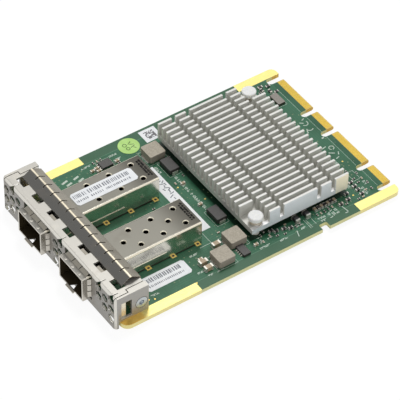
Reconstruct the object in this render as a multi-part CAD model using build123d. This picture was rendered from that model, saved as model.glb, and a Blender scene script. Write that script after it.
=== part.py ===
from build123d import *
import math
import os

# A mezzanine network card: a 76 by 115 mm board with a folded front bracket, two plug-in cages,
# a cross-cut finned heat sink on two push pins, a four-tab edge connector and plated card rails.
# It is modelled with x across the card, y from the board's front edge to its tabs and z from the
# board's top face, and then moved so that the middle of its lowest plane is the origin.

# Board
board_width = 76.0
board_length = 115.0
board_thickness = 1.57
rail_width = 3.8
front_corner_radius = 3.0
rear_corner_radius = 2.3
underside_reach = 2.9
plating = 0.08
overrun = 1.0

# Rail pads, and the notch in the right edge
front_pad_length = 30.9
rear_pad_length = 17.6
notch_depth = 2.4
notch_length = 3.2
notch_front = 81.2
notch_radius = 0.6

# Edge connector, with two long and two short tabs
long_contact_count = 28
short_contact_count = 14
contact_pitch = 0.6
contact_width = 0.42
contact_length = 3.0
contact_thickness = 0.05
tab_side_margin = 0.57
tab_depth = 6.4
tab_row_offset = 0.4
bevel_length = 0.6
bevel_depth = 0.35
bevel_margin = 0.3

# Front bracket, folded from one sheet
bracket_inset = 3.1
bracket_top = 11.4
bracket_front_gap = 1.85
sheet = 0.8
bend_radius = 1.3
top_plate_length = 10.9
side_wall_length = 11.5
corner_slit = 0.3
side_tab_width = 1.5
side_tab_start = 3.8
board_clearance = 0.3
port_side_gap = 1.2
port_top_gap = 1.1
port_bottom_gap = 0.7

# Square clip holes in the bracket's top plate
clip_hole_count = 7
clip_hole_margin = 6.1
clip_hole_width = 4.9
clip_hole_length = 3.6
clip_hole_front = 1.5

# Hexagonal vents in the bracket's face
vent_radius = 1.85
vent_pitch = 4.3
vent_column_pitch = 3.7
vent_middle_pitch = 2.8
vent_side_margin = 2.5
vent_bottom_margin = 1.75

# Window and screw in each side wall of the bracket
window_front = 0.65
window_length = 4.15
window_bottom = 1.1
window_height = 7.2
screw_place = 8.7
screw_height = 4.5
screw_radius = 1.4
screw_head_radius = 2.3
screw_gap = 0.12
screw_length = 5.0
screw_recess_radius = 1.1
screw_recess_depth = 0.7
fixing_block_width = 6.0
fixing_block_length = 4.6
fixing_block_height = 8.0
fixing_gap = 0.05
side_spring_width = 1.7
side_spring_sheet = 0.3
side_spring_overlap = 0.5
side_spring_place = 0.35

# Spring finger strip that clips across the top of the bracket
strip_inset = 4.3
strip_sheet = 0.25
strip_foot = 3.7
strip_ridge = 7.35
strip_height = 2.0
strip_finger_count = 13
strip_slit = 0.45
strip_slit_front = 1.4
strip_slit_rear = 2.4
strip_crown = 0.9
strip_hook_depth = 0.9
strip_hook_width = 3.4
strip_clip_gap = 0.05

# Plug-in cages
cage_pitch = 25.6
cage_width = 13.9
cage_height = 9.65
cage_length = 48.3
cage_front = 4.9
cage_sheet = 0.3
cage_corner = 0.7
cage_floor_length = 31.0
cage_hole_radius = 1.15
cage_hole_column = 3.9
cage_hole_pitch = 9.05
cage_hole_rows = 3
cage_hole_rear_margin = 4.6
cage_pin_pitch = 10.1
cage_pin_rear_margin = 1.6
cage_pin_count = 3
cage_pin_width = 0.7
cage_pin_depth = 2.3
cage_pin_hole_radius = 0.55
cage_pad_size = 2.3
tongue_width = 4.9
tongue_reach = 0.8
tongue_drop = 0.35
tongue_window = 2.3

# Spring collar round each cage's mouth
collar_sheet = 0.25
collar_band = 1.9
collar_finger = 1.45
collar_flare = 0.55
collar_slit = 0.35
collar_gap = 0.02
collar_chamfer = 0.35
collar_dimple = 0.7
collar_dimple_height = 0.25
collar_dimple_slope = 45
collar_finger_count = 3

# Connector inside each cage
host_side_gap = 0.85
host_depth = 9.0
host_height = 5.6
host_slot_width = 9.8
host_slot_height = 1.5
host_slot_depth = 5.0
host_slot_place = 3.2
host_contact_count = 10
host_contact_pitch = 0.8
host_contact_width = 0.35
host_contact_sheet = 0.2
host_rear_gap = 0.6

# Heat sink
parts_row_length = 14.7
sink_rear_gap = 16.3
sink_side_margin = 9.39
fin_count = 23
fin_thickness = 0.9
fin_height = 5.0
sink_base = 2.0
sink_stand = 2.6
fin_end_length = 5.55
fin_short_length = 4.3
fin_cut = 1.7
cleared_rows = 3

# Push pins and their springs
pin_side_margin = 2.71
pin_end_margin = 3.2
pin_body_radius = 1.45
pin_hole_radius = 1.6
pin_head_radius = 2.65
pin_head_thickness = 1.5
pin_head_edge = 0.3
pin_head_lift = 2.1
pin_barb_radius = 1.95
pin_barb_height = 0.7
pin_slot = 0.5
spring_radius = 2.05
spring_wire = 0.17
spring_turns = 2.5

# Controller under the heat sink
package_size = 25.0
package_thickness = 1.2
lid_size = 21.0
lid_thickness = 1.2

# Power inductors and block capacitors
inductor_size = 6.5
inductor_height = 2.9
inductor_corner = 0.35
inductor_foot = 0.35
inductor_terminal = 1.3
block_length = 6.6
block_width = 3.9
block_height = 2.2
block_taper = 0.2
block_foot = 0.3
block_terminal_width = 2.4
block_terminal_sheet = 0.15
block_gap = 1.42

# Chips with legs
small_chip_length = 5.0
small_chip_width = 2.9
small_chip_height = 1.1
flash_length = 4.4
flash_width = 3.4
flash_height = 1.0
clock_length = 5.6
clock_width = 2.9
clock_height = 1.1
leg_width = 0.35
leg_pitch = 0.95
leg_reach = 0.7
leg_sheet = 0.15
leg_count = 4
chip_stand = 0.1

# Chip capacitors and resistors, as (length, width, height)
large_chip = (3.2, 1.7, 1.6)
medium_chip = (1.7, 0.9, 0.75)
small_chip = (1.05, 0.55, 0.4)
terminal_share = 0.2
terminal_proud = 0.02

# Labels
label_thickness = 0.1
cage_label_width = 6.25
cage_label_length = 24.8
cage_label_front = 12.9
cage_label_corner = 0.8
board_label_length = 35.5
board_label_width = 4.65
board_label_gap = 1.85
board_label_offset = 2.0
side_label_width = 6.6
side_label_front = 15.45
side_label_corner = 0.8
side_label_place_share = 0.39
side_label_length_share = 0.37
sticker_radius = 3.95
sticker_side_margin = 4.9
sticker_behind_cages = 5.5
code_label_width = 6.1
code_label_length = 6.6
code_label_ahead = 2.9
code_label_side_margin = 4.2

# Numbers of flat sides on the small round features that repeat
hole_sides = 10
pin_hole_sides = 6
body_sides = 16

# Worked-out sizes and places
half_board = board_width / 2
rail_inner = half_board - rail_width
board_underside = -board_thickness
bracket_width = board_width - 2 * bracket_inset
half_bracket = bracket_width / 2
clip_hole_pitch = (bracket_width - 2 * clip_hole_margin) / (clip_hole_count - 1)
strip_length = bracket_width - 2 * strip_inset
strip_finger_pitch = strip_length / strip_finger_count
cage_places = {"left": -cage_pitch / 2, "right": cage_pitch / 2}
cage_rear = cage_length - cage_front
host_width = cage_width - 2 * (cage_sheet + host_side_gap)
long_tab_width = (long_contact_count - 1) * contact_pitch + contact_width + 2 * tab_side_margin
short_tab_width = (short_contact_count - 1) * contact_pitch + contact_width + 2 * tab_side_margin
tab_gap = (2 * rail_inner - 2 * (long_tab_width + short_tab_width)) / 5
sink_front = cage_rear + parts_row_length
sink_width = board_width - 2 * sink_side_margin
fin_pitch = (sink_width - fin_thickness) / (fin_count - 1)
pin_side_place = sink_width / 2 - pin_side_margin
sink_length = board_length - sink_front - sink_rear_gap
fin_long_length = sink_length - 2 * (fin_end_length + fin_short_length) - 4 * fin_cut
sink_middle = sink_front + sink_length / 2
sink_base_top = sink_stand + sink_base
pin_places = {"right": (pin_side_place, sink_front + pin_end_margin),
              "left": (-pin_side_place, sink_front + sink_length - pin_end_margin)}
front_reach = cage_front + tongue_reach
to_row = Pos(0, -(board_length - front_reach) / 2, underside_reach)

# Places of the power parts, as shares of an inductor's size in from a rail and ahead of the heat sink
right_inductor_shares = ((1.34, 0.82), (0.55, 2.11))
left_inductor_shares = (1.52, 0.74)
right_block_share = 0.01
block_ahead_share = 0.54
regulator_ahead_share = 0.86
flash_shares = (0.7, 3.26)
large_capacitor_shares = ((0.89, 3.1), (0.42, 3.08), (1.57, 1.8))
right_capacitor_shares = ((1.19, 3.06), (0.45, 0.03))
left_capacitor_shares = ((0.69, 3.83), (0.92, 3.82), (0.75, 4.13), (0.81, 2.6))
middle_capacitor_shares = ((0.19, 0.75), (-0.27, 0.63))

# Places beside the heat sink, as shares in from the right rail and along the sink
array_shares = ((0.74, 0.44), (0.74, 0.55))
cluster_shares = ((0.83, 0.19), (0.66, 0.225), (0.57, 0.295), (0.43, 0.35), (0.35, 0.87))
edge_row_share = 0.8
edge_row_first_share = 0.65
edge_row_step_share = 0.034
edge_row_count = 7

# Places behind the heat sink, as shares in from a rail and of a tab's depth from the rear edge
rear_right_shares = ((1.35, 1.95), (1.03, 1.95), (0.71, 1.95), (0.37, 1.95), (0.8, 2.67), (0.42, 2.84))
rear_left_shares = ((0.65, 1.66), (0.94, 1.3))
clock_shares = (1.74, 1.38)

# Places under the controller, as shares of its package's size
underside_step_share = 0.4
underside_count = 2


def block(x0, x1, y0, y1, z0, z1):
    """A box between six planes."""
    return Pos((x0 + x1) / 2, (y0 + y1) / 2, (z0 + z1) / 2) * Box(x1 - x0, y1 - y0, z1 - z0)


def facet_peg(x, y, z0, z1, radius, sides):
    """An upright prism with a few flat sides, for small round holes that repeat."""
    return extrude(Pos(x, y, z0) * RegularPolygon(radius, sides), z1 - z0)


def prism_x(points, x0, x1):
    """A profile of (y, z) points drawn out along x."""
    side_plane = Plane(origin=(x0, 0, 0), x_dir=(0, 1, 0), z_dir=(1, 0, 0))
    return extrude(side_plane * make_face(Polyline(*points, close=True)), x1 - x0)


def prism_y(points, y0, y1):
    """A profile of (x, z) points drawn out along y."""
    end_plane = Plane(origin=(0, y1, 0), x_dir=(1, 0, 0), z_dir=(0, -1, 0))
    return extrude(end_plane * make_face(Polyline(*points, close=True)), y1 - y0)


def save(name, shapes):
    """Move a piece, or a group of like pieces, to the row's frame and write it."""
    solids = [solid.moved(to_row) for shape in shapes for solid in shape.solids()]
    export_step(solids[0] if len(solids) == 1 else Compound(solids), f"parts/{name}.step")


def tab_spans():
    """The x span and contact count of each tab, from left to right."""
    widths = ((long_tab_width, long_contact_count), (short_tab_width, short_contact_count)) * 2
    left = tab_row_offset - (sum(width for width, count in widths) + 3 * tab_gap) / 2
    spans = []
    for width, count in widths:
        spans.append((left, left + width, count))
        left += width + tab_gap
    return spans


def board_outline(inset, z0, z1):
    """The board's plate with rounded rail tips, drawn in all round by the inset."""
    plate = block(-half_board + inset, half_board - inset, inset, board_length - inset, z0, z1)
    front = plate.edges().filter_by(Axis.Z).sort_by(Axis.Y)[:2]
    plate = fillet(front, front_corner_radius - inset)
    rear = plate.edges().filter_by(Axis.Z).sort_by(Axis.Y)[-2:]
    return fillet(rear, rear_corner_radius - inset)


def connector_slots():
    """The gaps beside and between the tabs, each with a round root."""
    spans = tab_spans()
    edges = [-rail_inner] + [x for left, right, count in spans for x in (left, right)] + [rail_inner]
    root = board_length - tab_depth
    slots = []
    for left, right in zip(edges[0::2], edges[1::2]):
        radius = (right - left) / 2
        slots.append(block(left, right, root + radius, board_length + overrun,
                           board_underside - overrun, overrun))
        slots.append(facet_peg((left + right) / 2, root + radius, board_underside - overrun, overrun,
                               radius, body_sides))
    return slots


def tab_bevels():
    """Wedges that bevel both faces of the tabs' rear ends."""
    spans = tab_spans()
    left, right = spans[0][0] - bevel_margin, spans[-1][1] + bevel_margin
    bevel_start = board_length - bevel_length
    slope = bevel_depth / bevel_length
    tip = board_length + overrun
    tip_drop = bevel_depth + slope * overrun
    upper = prism_x([(bevel_start, 0), (tip, -tip_drop), (tip, 0)], left, right)
    lower = prism_x([(bevel_start, board_underside), (tip, board_underside + tip_drop),
                     (tip, board_underside)], left, right)
    return [upper, lower]


def edge_notch():
    """The small notch in the right edge of the board."""
    notch = block(half_board - notch_depth, half_board + overrun, notch_front, notch_front + notch_length,
                  board_underside - overrun, overrun)
    inner = notch.edges().filter_by(Axis.Z).sort_by(Axis.X)[:2]
    return fillet(inner, notch_radius)


def cage_pin_spots():
    """Where the cages' press-fit pins pass through the board."""
    spots = []
    for middle in cage_places.values():
        for side in (-1, 1):
            x = middle + side * (cage_width - cage_sheet) / 2
            spots += [(x, cage_rear - cage_pin_rear_margin - index * cage_pin_pitch)
                      for index in range(cage_pin_count)]
    return spots


def rail_span(side, front, rear):
    """A box over one rail between two places along it."""
    inner, outer = rail_inner, half_board + overrun
    x0, x1 = (inner, outer) if side > 0 else (-outer, -inner)
    return block(x0, x1, front, rear, board_underside - overrun, overrun)


def pad_spans():
    """The four plated stretches of the rails."""
    spans = {}
    for word, side in (("left", -1), ("right", 1)):
        spans[f"{word}_front_rail_pad"] = rail_span(side, -overrun, front_pad_length)
        spans[f"{word}_rear_rail_pad"] = rail_span(side, board_length - rear_pad_length,
                                                   board_length + overrun)
    return spans


def circuit_board():
    board = board_outline(0, board_underside, 0)
    for cut in connector_slots() + tab_bevels() + [edge_notch()]:
        board -= cut
    for x, y in cage_pin_spots():
        board -= facet_peg(x, y, board_underside - overrun, overrun, cage_pin_hole_radius, pin_hole_sides)
    for x, y in pin_places.values():
        board -= facet_peg(x, y, board_underside - overrun, overrun, pin_hole_radius, body_sides)
    core = board_outline(plating, board_underside - overrun, overrun)
    for span in pad_spans().values():
        board -= span - core
    return board


def rail_pads():
    """Gold that wraps over the top, the edge and the underside of each rail end."""
    shell = board_outline(0, board_underside - plating, plating)
    shell -= board_outline(plating, board_underside, 0)
    for cut in connector_slots():
        shell -= cut
    return {name: shell & span for name, span in pad_spans().items()}


def edge_contacts(face):
    """One gold contact for each place on the tabs, up to the bevel; face is 1 on top."""
    surface = 0 if face > 0 else board_underside
    z0, z1 = sorted((surface, surface + contact_thickness * face))
    front, rear = board_length - contact_length, board_length - bevel_length
    contacts = []
    for left, right, count in tab_spans():
        first = left + tab_side_margin
        for index in range(count):
            x = first + index * contact_pitch
            contacts.append(block(x, x + contact_width, front, rear, z0, z1))
    return contacts


def bracket_tray(inset, radius, rear, bottom):
    """The block that the folded sheet wraps, with its front and top bends rounded."""
    half = half_bracket - inset
    tray = block(-half, half, inset - bracket_front_gap, rear, bottom, bracket_top - inset)
    front = tray.faces().sort_by(Axis.Y)[0]
    bends = front.edges().filter_by(Axis.Z) + front.edges().sort_by(Axis.Z)[-1:]
    return fillet(bends, radius)


def port_opening(middle):
    half = cage_width / 2 + port_side_gap
    return block(middle - half, middle + half, -bracket_front_gap - overrun, 0,
                 -port_bottom_gap, cage_height + port_top_gap)


def vent(x, z):
    """A hexagonal hole through the front face."""
    hexagon = Plane(origin=(x, overrun, z), z_dir=(0, -1, 0)) * RegularPolygon(vent_radius, 6)
    return extrude(hexagon, bracket_front_gap + 2 * overrun)


def vent_holes():
    """Staggered columns of vents at the left, between and at the right of the ports."""
    low = vent_bottom_margin - underside_reach
    high = low + vent_pitch / 2
    edge = half_bracket - vent_side_margin
    columns = ((-edge, low, 3), (-edge + vent_column_pitch, high, 3),
               (-edge + 2 * vent_column_pitch, low + vent_pitch, 2),
               (-vent_middle_pitch / 2, low, 3), (vent_middle_pitch / 2, high + vent_pitch, 2),
               (edge, high, 3), (edge - vent_column_pitch, low + vent_pitch, 2),
               (edge - 2 * vent_column_pitch, high + vent_pitch, 2))
    return [vent(x, z + index * vent_pitch) for x, z, count in columns for index in range(count)]


def clip_holes():
    """The row of square holes that the finger strip hooks into."""
    first = -(clip_hole_count - 1) * clip_hole_pitch / 2
    holes = []
    for index in range(clip_hole_count):
        x = first + index * clip_hole_pitch
        holes.append(block(x - clip_hole_width / 2, x + clip_hole_width / 2, clip_hole_front,
                           clip_hole_front + clip_hole_length, bracket_top - sheet - overrun,
                           bracket_top + overrun))
    return holes


def corner_slits(side):
    """The cut between the top plate and one side wall, with the jog round the wall's folded tab."""
    wall = half_bracket - sheet
    low, high = bracket_top - bend_radius, bracket_top + overrun
    inner = wall - side_tab_width
    rear = side_wall_length + overrun
    front = -bracket_front_gap - overrun
    runs = ((wall - corner_slit, wall, front, side_tab_start),
            (inner - corner_slit, wall, side_tab_start, side_tab_start + corner_slit),
            (inner - corner_slit, inner, side_tab_start, rear))
    cuts = []
    for x0, x1, y0, y1 in runs:
        cuts.append(block(*sorted((side * x0, side * x1)), y0, y1, low, high))
    return cuts


def side_hole(side, radius, depth):
    """A hole for the side screw, from outside the wall to a depth."""
    hole = extrude(RegularPolygon(radius, body_sides), depth + overrun)
    return screw_frame(side) * Pos(0, 0, -depth) * hole


def screw_frame(side):
    """The place of a side screw, with z pointing out of the wall."""
    return Pos(side * half_bracket, screw_place, screw_height) * Rot(0, side * 90, 0)


def front_bracket():
    bracket = bracket_tray(0, bend_radius, side_wall_length, -underside_reach)
    bracket -= bracket_tray(sheet, bend_radius - sheet, side_wall_length + overrun,
                            -underside_reach - overrun)
    reach = half_bracket + overrun
    bracket -= block(-reach, reach, -board_clearance, side_wall_length + overrun,
                     -underside_reach - overrun, plating)
    inner = half_bracket - sheet - side_tab_width - corner_slit
    bracket -= block(-inner, inner, top_plate_length, side_wall_length + overrun,
                     bracket_top - sheet - overrun, bracket_top + overrun)
    for cut in vent_holes() + clip_holes():
        bracket -= cut
    for middle in cage_places.values():
        bracket -= port_opening(middle)
    for side in (-1, 1):
        for cut in corner_slits(side):
            bracket -= cut
        x0, x1 = sorted((side * (half_bracket - 2 * sheet), side * (half_bracket + overrun)))
        bracket -= block(x0, x1, window_front, window_front + window_length,
                         window_bottom, window_bottom + window_height)
        bracket -= side_hole(side, screw_head_radius + screw_gap, 2 * sheet)
    return bracket


def finger_strip():
    """A ridged spring strip whose hooks sit in the clip holes and over the plate's rear edge."""
    rear = top_plate_length + strip_clip_gap
    low = bracket_top - strip_hook_depth
    crown = bracket_top + strip_sheet + strip_height
    foot = bracket_top + strip_sheet
    front_ridge, rear_ridge = strip_ridge - strip_crown / 2, strip_ridge + strip_crown / 2
    profile = [(strip_foot, foot), (front_ridge, crown), (rear_ridge, crown), (rear + strip_sheet, foot),
               (rear + strip_sheet, low), (rear, low), (rear, bracket_top), (rear_ridge, crown - strip_sheet),
               (front_ridge, crown - strip_sheet), (strip_foot, bracket_top)]
    strip = prism_x(profile, -strip_length / 2, strip_length / 2)
    first = -(clip_hole_count - 1) * clip_hole_pitch / 2
    for index in range(clip_hole_count):
        x = first + index * clip_hole_pitch
        strip += block(x - strip_hook_width / 2, x + strip_hook_width / 2, strip_foot,
                       strip_foot + strip_sheet, low, foot)
    start = -(strip_finger_count - 2) * strip_finger_pitch / 2
    for index in range(strip_finger_count - 1):
        x = start + index * strip_finger_pitch
        strip -= block(x - strip_slit / 2, x + strip_slit / 2, strip_ridge - strip_slit_front,
                       strip_ridge + strip_slit_rear, bracket_top, crown + overrun)
    return strip


def bracket_screw(side):
    """A flush screw that clamps a side wall to its fixing block, with a six-sided recess."""
    screw = Pos(0, 0, -sheet) * extrude(RegularPolygon(screw_head_radius, 2 * body_sides), sheet)
    screw += Pos(0, 0, -screw_length) * extrude(RegularPolygon(screw_radius, body_sides), screw_length)
    recess = extrude(RegularPolygon(screw_recess_radius, 6), screw_recess_depth + overrun)
    screw -= Pos(0, 0, -screw_recess_depth) * recess
    return screw_frame(side) * screw


def fixing_block(side):
    """A threaded block soldered to the board behind a side wall."""
    outer = half_bracket - sheet - fixing_gap
    x0, x1 = sorted((side * (outer - fixing_block_width), side * outer))
    body = block(x0, x1, screw_place - fixing_block_length / 2, screw_place + fixing_block_length / 2,
                 0, fixing_block_height)
    return body - side_hole(side, screw_radius + fixing_gap, screw_length + sheet)


def side_spring(side):
    """A contact spring that stands behind a side wall's window and bows out into it."""
    inner = half_bracket - sheet
    y0 = window_front + side_spring_place
    low = window_bottom - side_spring_overlap
    high = window_bottom + window_height + side_spring_overlap
    bow = side_spring_sheet
    outer = [(inner, low), (inner, low + side_spring_overlap),
             (inner + bow, low + 2 * side_spring_overlap), (inner + bow, high - 2 * side_spring_overlap),
             (inner, high - side_spring_overlap), (inner, high)]
    profile = outer + [(x - side_spring_sheet, z) for x, z in reversed(outer)]
    return prism_y([(side * x, z) for x, z in profile], y0, y0 + side_spring_width)


def cage_holes(middle):
    """Vent holes in three staggered columns, as (x, y) places."""
    spots = []
    for column in (-1, 0, 1):
        last = cage_rear - cage_hole_rear_margin - (cage_hole_pitch / 2 if column == 0 else 0)
        x = middle + column * cage_hole_column
        spots += [(x, last - row * cage_hole_pitch) for row in range(cage_hole_rows)]
    return spots


def latch_tongue(middle):
    """The floor's front tongue, dipped a little, with its three-cornered latch hole."""
    front = -cage_front
    back = front + 2 * tongue_window
    tip = front - tongue_reach
    points = [(back, 0), (back, cage_sheet), (front, cage_sheet), (tip, cage_sheet - tongue_drop),
              (tip, -tongue_drop), (front, 0)]
    return prism_x(points, middle - tongue_width / 2, middle + tongue_width / 2)


def latch_hole(middle):
    front = -cage_front + cage_sheet
    profile = Polyline((middle - tongue_window / 2, front), (middle + tongue_window / 2, front),
                       (middle, front + tongue_window), close=True)
    low, high = -tongue_drop - overrun, cage_sheet + overrun
    return extrude(Pos(0, 0, low) * make_face(profile), high - low)


def port_cage(middle):
    """A folded sheet cage, open at its mouth and under its rear, with press-fit pins."""
    half = cage_width / 2
    outer = block(middle - half, middle + half, -cage_front, cage_rear, 0, cage_height)
    outer = fillet(outer.edges().filter_by(Axis.Y).sort_by(Axis.Z)[-2:], cage_corner)
    inner = block(middle - half + cage_sheet, middle + half - cage_sheet, -cage_front - overrun,
                  cage_rear - cage_sheet, cage_sheet, cage_height - cage_sheet)
    inner = fillet(inner.edges().filter_by(Axis.Y).sort_by(Axis.Z)[-2:], cage_corner - cage_sheet)
    cage = outer - inner
    cage -= block(middle - half + cage_sheet, middle + half - cage_sheet, cage_floor_length - cage_front,
                  cage_rear - cage_sheet, -overrun, cage_sheet)
    for x, y in cage_holes(middle):
        cage -= facet_peg(x, y, cage_height - 2 * cage_sheet, cage_height + overrun, cage_hole_radius,
                          hole_sides)
    cage = cage + latch_tongue(middle) - latch_hole(middle)
    for x, y in cage_pin_spots():
        if abs(x - middle) < cage_width:
            cage += block(x - cage_sheet / 2, x + cage_sheet / 2, y - cage_pin_width / 2,
                          y + cage_pin_width / 2, -cage_pin_depth, cage_sheet)
    return cage


def pin_pads():
    """A square gold pad on the board beside each press-fit pin, outside its cage."""
    pads = []
    for x, y in cage_pin_spots():
        middle = min(cage_places.values(), key=lambda place: abs(place - x))
        side = 1 if x > middle else -1
        edge = x + side * (cage_sheet / 2 + collar_gap)
        x0, x1 = sorted((edge, edge + side * cage_pad_size / 2))
        pad = block(x0, x1, y - cage_pad_size / 2, y + cage_pad_size / 2, 0, plating)
        pads.append(pad - facet_peg(x, y, -overrun, overrun, cage_pin_hole_radius, pin_hole_sides))
    return pads


def finger_rows(span, count):
    """Start and end of each of several fingers along a side, with slits between."""
    width = (span - (count - 1) * collar_slit) / count
    return [(-span / 2 + index * (width + collar_slit), -span / 2 + index * (width + collar_slit) + width)
            for index in range(count)]


def port_collar(middle):
    """A spring collar round a cage's mouth, with fingers that flare back to the bracket."""
    front = -cage_front
    root = front + collar_band
    half = cage_width / 2 + collar_gap
    low, high = -collar_gap, cage_height + collar_gap
    band = block(middle - half - collar_sheet, middle + half + collar_sheet, front, root,
                 low - collar_sheet, high + collar_sheet)
    band -= block(middle - half, middle + half, front - overrun, root + overrun, low, high)
    band -= block(middle - tongue_width / 2 - collar_slit, middle + tongue_width / 2 + collar_slit,
                  front - overrun, root + overrun, low - collar_sheet - overrun, low)
    band = chamfer(band.faces().sort_by(Axis.Z)[-1].edges().filter_by(Axis.Y), collar_chamfer)
    span = cage_width - 2 * cage_corner
    tip = root + collar_finger
    lean = [(root, 0), (root, collar_sheet), (tip, collar_sheet + collar_flare), (tip, collar_flare)]
    for start, end in finger_rows(span, collar_finger_count):
        band += prism_x([(y, high + rise) for y, rise in lean], middle + start, middle + end)
    tall = cage_height - 2 * cage_corner
    for start, end in finger_rows(tall, collar_finger_count):
        for side in (-1, 1):
            finger = Polyline(*[(middle + side * (half + rise), y) for y, rise in lean], close=True)
            level = cage_height / 2
            band += extrude(Pos(0, 0, level + start) * make_face(finger), end - start, dir=(0, 0, 1))
    for place in (-1, 0, 1):
        spot = Pos(middle + place * span / 3, front + collar_band / 2, high + collar_sheet)
        band += extrude(spot * RegularPolygon(collar_dimple, pin_hole_sides), collar_dimple_height,
                        taper=collar_dimple_slope)
    return band


def host_connector(middle):
    """The moulded socket at the back of a cage, with the slot for a module's card edge."""
    rear = cage_rear - cage_sheet - host_rear_gap
    front = rear - host_depth
    body = block(middle - host_width / 2, middle + host_width / 2, front, rear, 0, host_height)
    body = fillet(body.edges().filter_by(Axis.Y).sort_by(Axis.Z)[-2:], cage_sheet)
    body -= block(middle - host_slot_width / 2, middle + host_slot_width / 2, front - overrun,
                  front + host_slot_depth, host_slot_place, host_slot_place + host_slot_height)
    return body


def host_contacts(middle):
    """Two rows of contacts that lie on the floor and the roof of the socket's slot."""
    front = cage_rear - cage_sheet - host_rear_gap - host_depth
    roof = host_slot_place + host_slot_height
    contacts = []
    for index in range(host_contact_count):
        x = middle + (index - (host_contact_count - 1) / 2) * host_contact_pitch
        for level in (host_slot_place, roof - host_contact_sheet):
            contacts.append(block(x - host_contact_width / 2, x + host_contact_width / 2,
                                  front + host_contact_sheet, front + host_slot_depth,
                                  level, level + host_contact_sheet))
    return contacts


def fin_spans():
    """Start and end of each fin segment along the sink."""
    spans = []
    start = sink_front
    for length in (fin_end_length, fin_short_length, fin_long_length, fin_short_length, fin_end_length):
        spans.append((start, start + length))
        start += length + fin_cut
    return spans


def heat_sink():
    """A base with rows of fins that four cross cuts divide, cleared at two corners for the pins."""
    half = sink_width / 2
    sink = block(-half, half, sink_front, sink_front + sink_length, sink_stand, sink_base_top)
    for x, y in pin_places.values():
        sink -= facet_peg(x, y, sink_stand - overrun, sink_base_top + overrun, pin_hole_radius, body_sides)
    fins = []
    spans = fin_spans()
    for row in range(fin_count):
        left = -half + row * fin_pitch
        for index, (start, end) in enumerate(spans):
            cleared_front = index == 0 and row >= fin_count - cleared_rows
            cleared_rear = index == len(spans) - 1 and row < cleared_rows
            if not (cleared_front or cleared_rear):
                fins.append(block(left, left + fin_thickness, start, end,
                                  sink_base_top, sink_base_top + fin_height))
    return sink.fuse(*fins)


def push_pin(x, y):
    """A nylon push pin: a round head, a body through sink and board, and a split barb below."""
    head_low = sink_base_top + pin_head_lift
    head_top = head_low + pin_head_thickness
    head = facet_peg(x, y, head_low, head_top - pin_head_edge, pin_head_radius, 2 * body_sides)
    rim = [Pos(x, y, head_top - pin_head_edge) * RegularPolygon(pin_head_radius, 2 * body_sides),
           Pos(x, y, head_top) * RegularPolygon(pin_head_radius - pin_head_edge, 2 * body_sides)]
    head += loft(rim)
    barb_top = board_underside - collar_gap
    pin = head + facet_peg(x, y, barb_top - pin_barb_height, head_low, pin_body_radius, body_sides)
    tip = -underside_reach
    ends = [Pos(x, y, tip) * RegularPolygon(pin_body_radius / 2, body_sides),
            Pos(x, y, barb_top) * RegularPolygon(pin_barb_radius, body_sides)]
    pin += loft(ends)
    pin -= block(x - pin_slot / 2, x + pin_slot / 2, y - pin_head_radius, y + pin_head_radius,
                 tip - overrun, barb_top + board_thickness / 2)
    return pin


def pin_spring(x, y):
    """The coil between a push pin's head and the sink's base, in short straight spans."""
    height = pin_head_lift - 2 * spring_wire - 2 * collar_gap
    steps = round(spring_turns * body_sides)
    points = []
    for step in range(steps + 1):
        turn = 2 * math.pi * step / body_sides
        points.append((spring_radius * math.cos(turn), spring_radius * math.sin(turn), height * step / steps))
    path = Polyline(*points)
    section = Plane(origin=path @ 0, z_dir=path % 0) * Rectangle(2 * spring_wire, 2 * spring_wire)
    coil = sweep(section, path=path, transition=Transition.RIGHT)
    return Pos(x, y, sink_base_top + spring_wire + collar_gap) * coil


def controller_parts():
    """The network controller's carrier, its lid and the pad between lid and sink."""
    half, lid_half = package_size / 2, lid_size / 2
    y = sink_middle
    package = block(-half, half, y - half, y + half, 0, package_thickness)
    lid_top = package_thickness + lid_thickness
    lid = block(-lid_half, lid_half, y - lid_half, y + lid_half, package_thickness, lid_top)
    pad = block(-lid_half, lid_half, y - lid_half, y + lid_half, lid_top, sink_stand)
    return package, lid, pad


def power_inductor(x, y):
    """A moulded inductor block with two flat terminals under its ends."""
    half = inductor_size / 2
    body = block(x - half, x + half, y - half, y + half, inductor_foot, inductor_foot + inductor_height)
    body = chamfer(body.edges().filter_by(Axis.Z), inductor_corner)
    terminals = []
    for side in (-1, 1):
        y0, y1 = sorted((y + side * (half - inductor_terminal), y + side * (half + inductor_foot)))
        terminals.append(block(x - inductor_size / 3, x + inductor_size / 3, y0, y1, 0, inductor_foot))
    return body, terminals


def block_capacitor(x, y):
    """A moulded block capacitor, waisted at mid height, with folded end terminals."""
    half = block_length / 2
    waist = block_foot + (block_height - block_foot) / 2
    points = [(-half, block_foot), (half, block_foot), (half + block_taper, waist), (half, block_height),
              (-half, block_height), (-half - block_taper, waist)]
    body = prism_y([(x + px, z) for px, z in points], y - block_width / 2, y + block_width / 2)
    terminals = []
    for side in (-1, 1):
        out = half + block_taper + block_terminal_sheet
        x0, x1 = sorted((x + side * (half + block_taper), x + side * out))
        y0, y1 = y - block_terminal_width / 2, y + block_terminal_width / 2
        upright = block(x0, x1, y0, y1, 0, waist)
        x2, x3 = sorted((x + side * half / 2, x + side * out))
        foot = block(x2, x3, y0, y1, 0, block_terminal_sheet)
        terminals.append(upright + foot)
    return body, terminals


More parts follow.
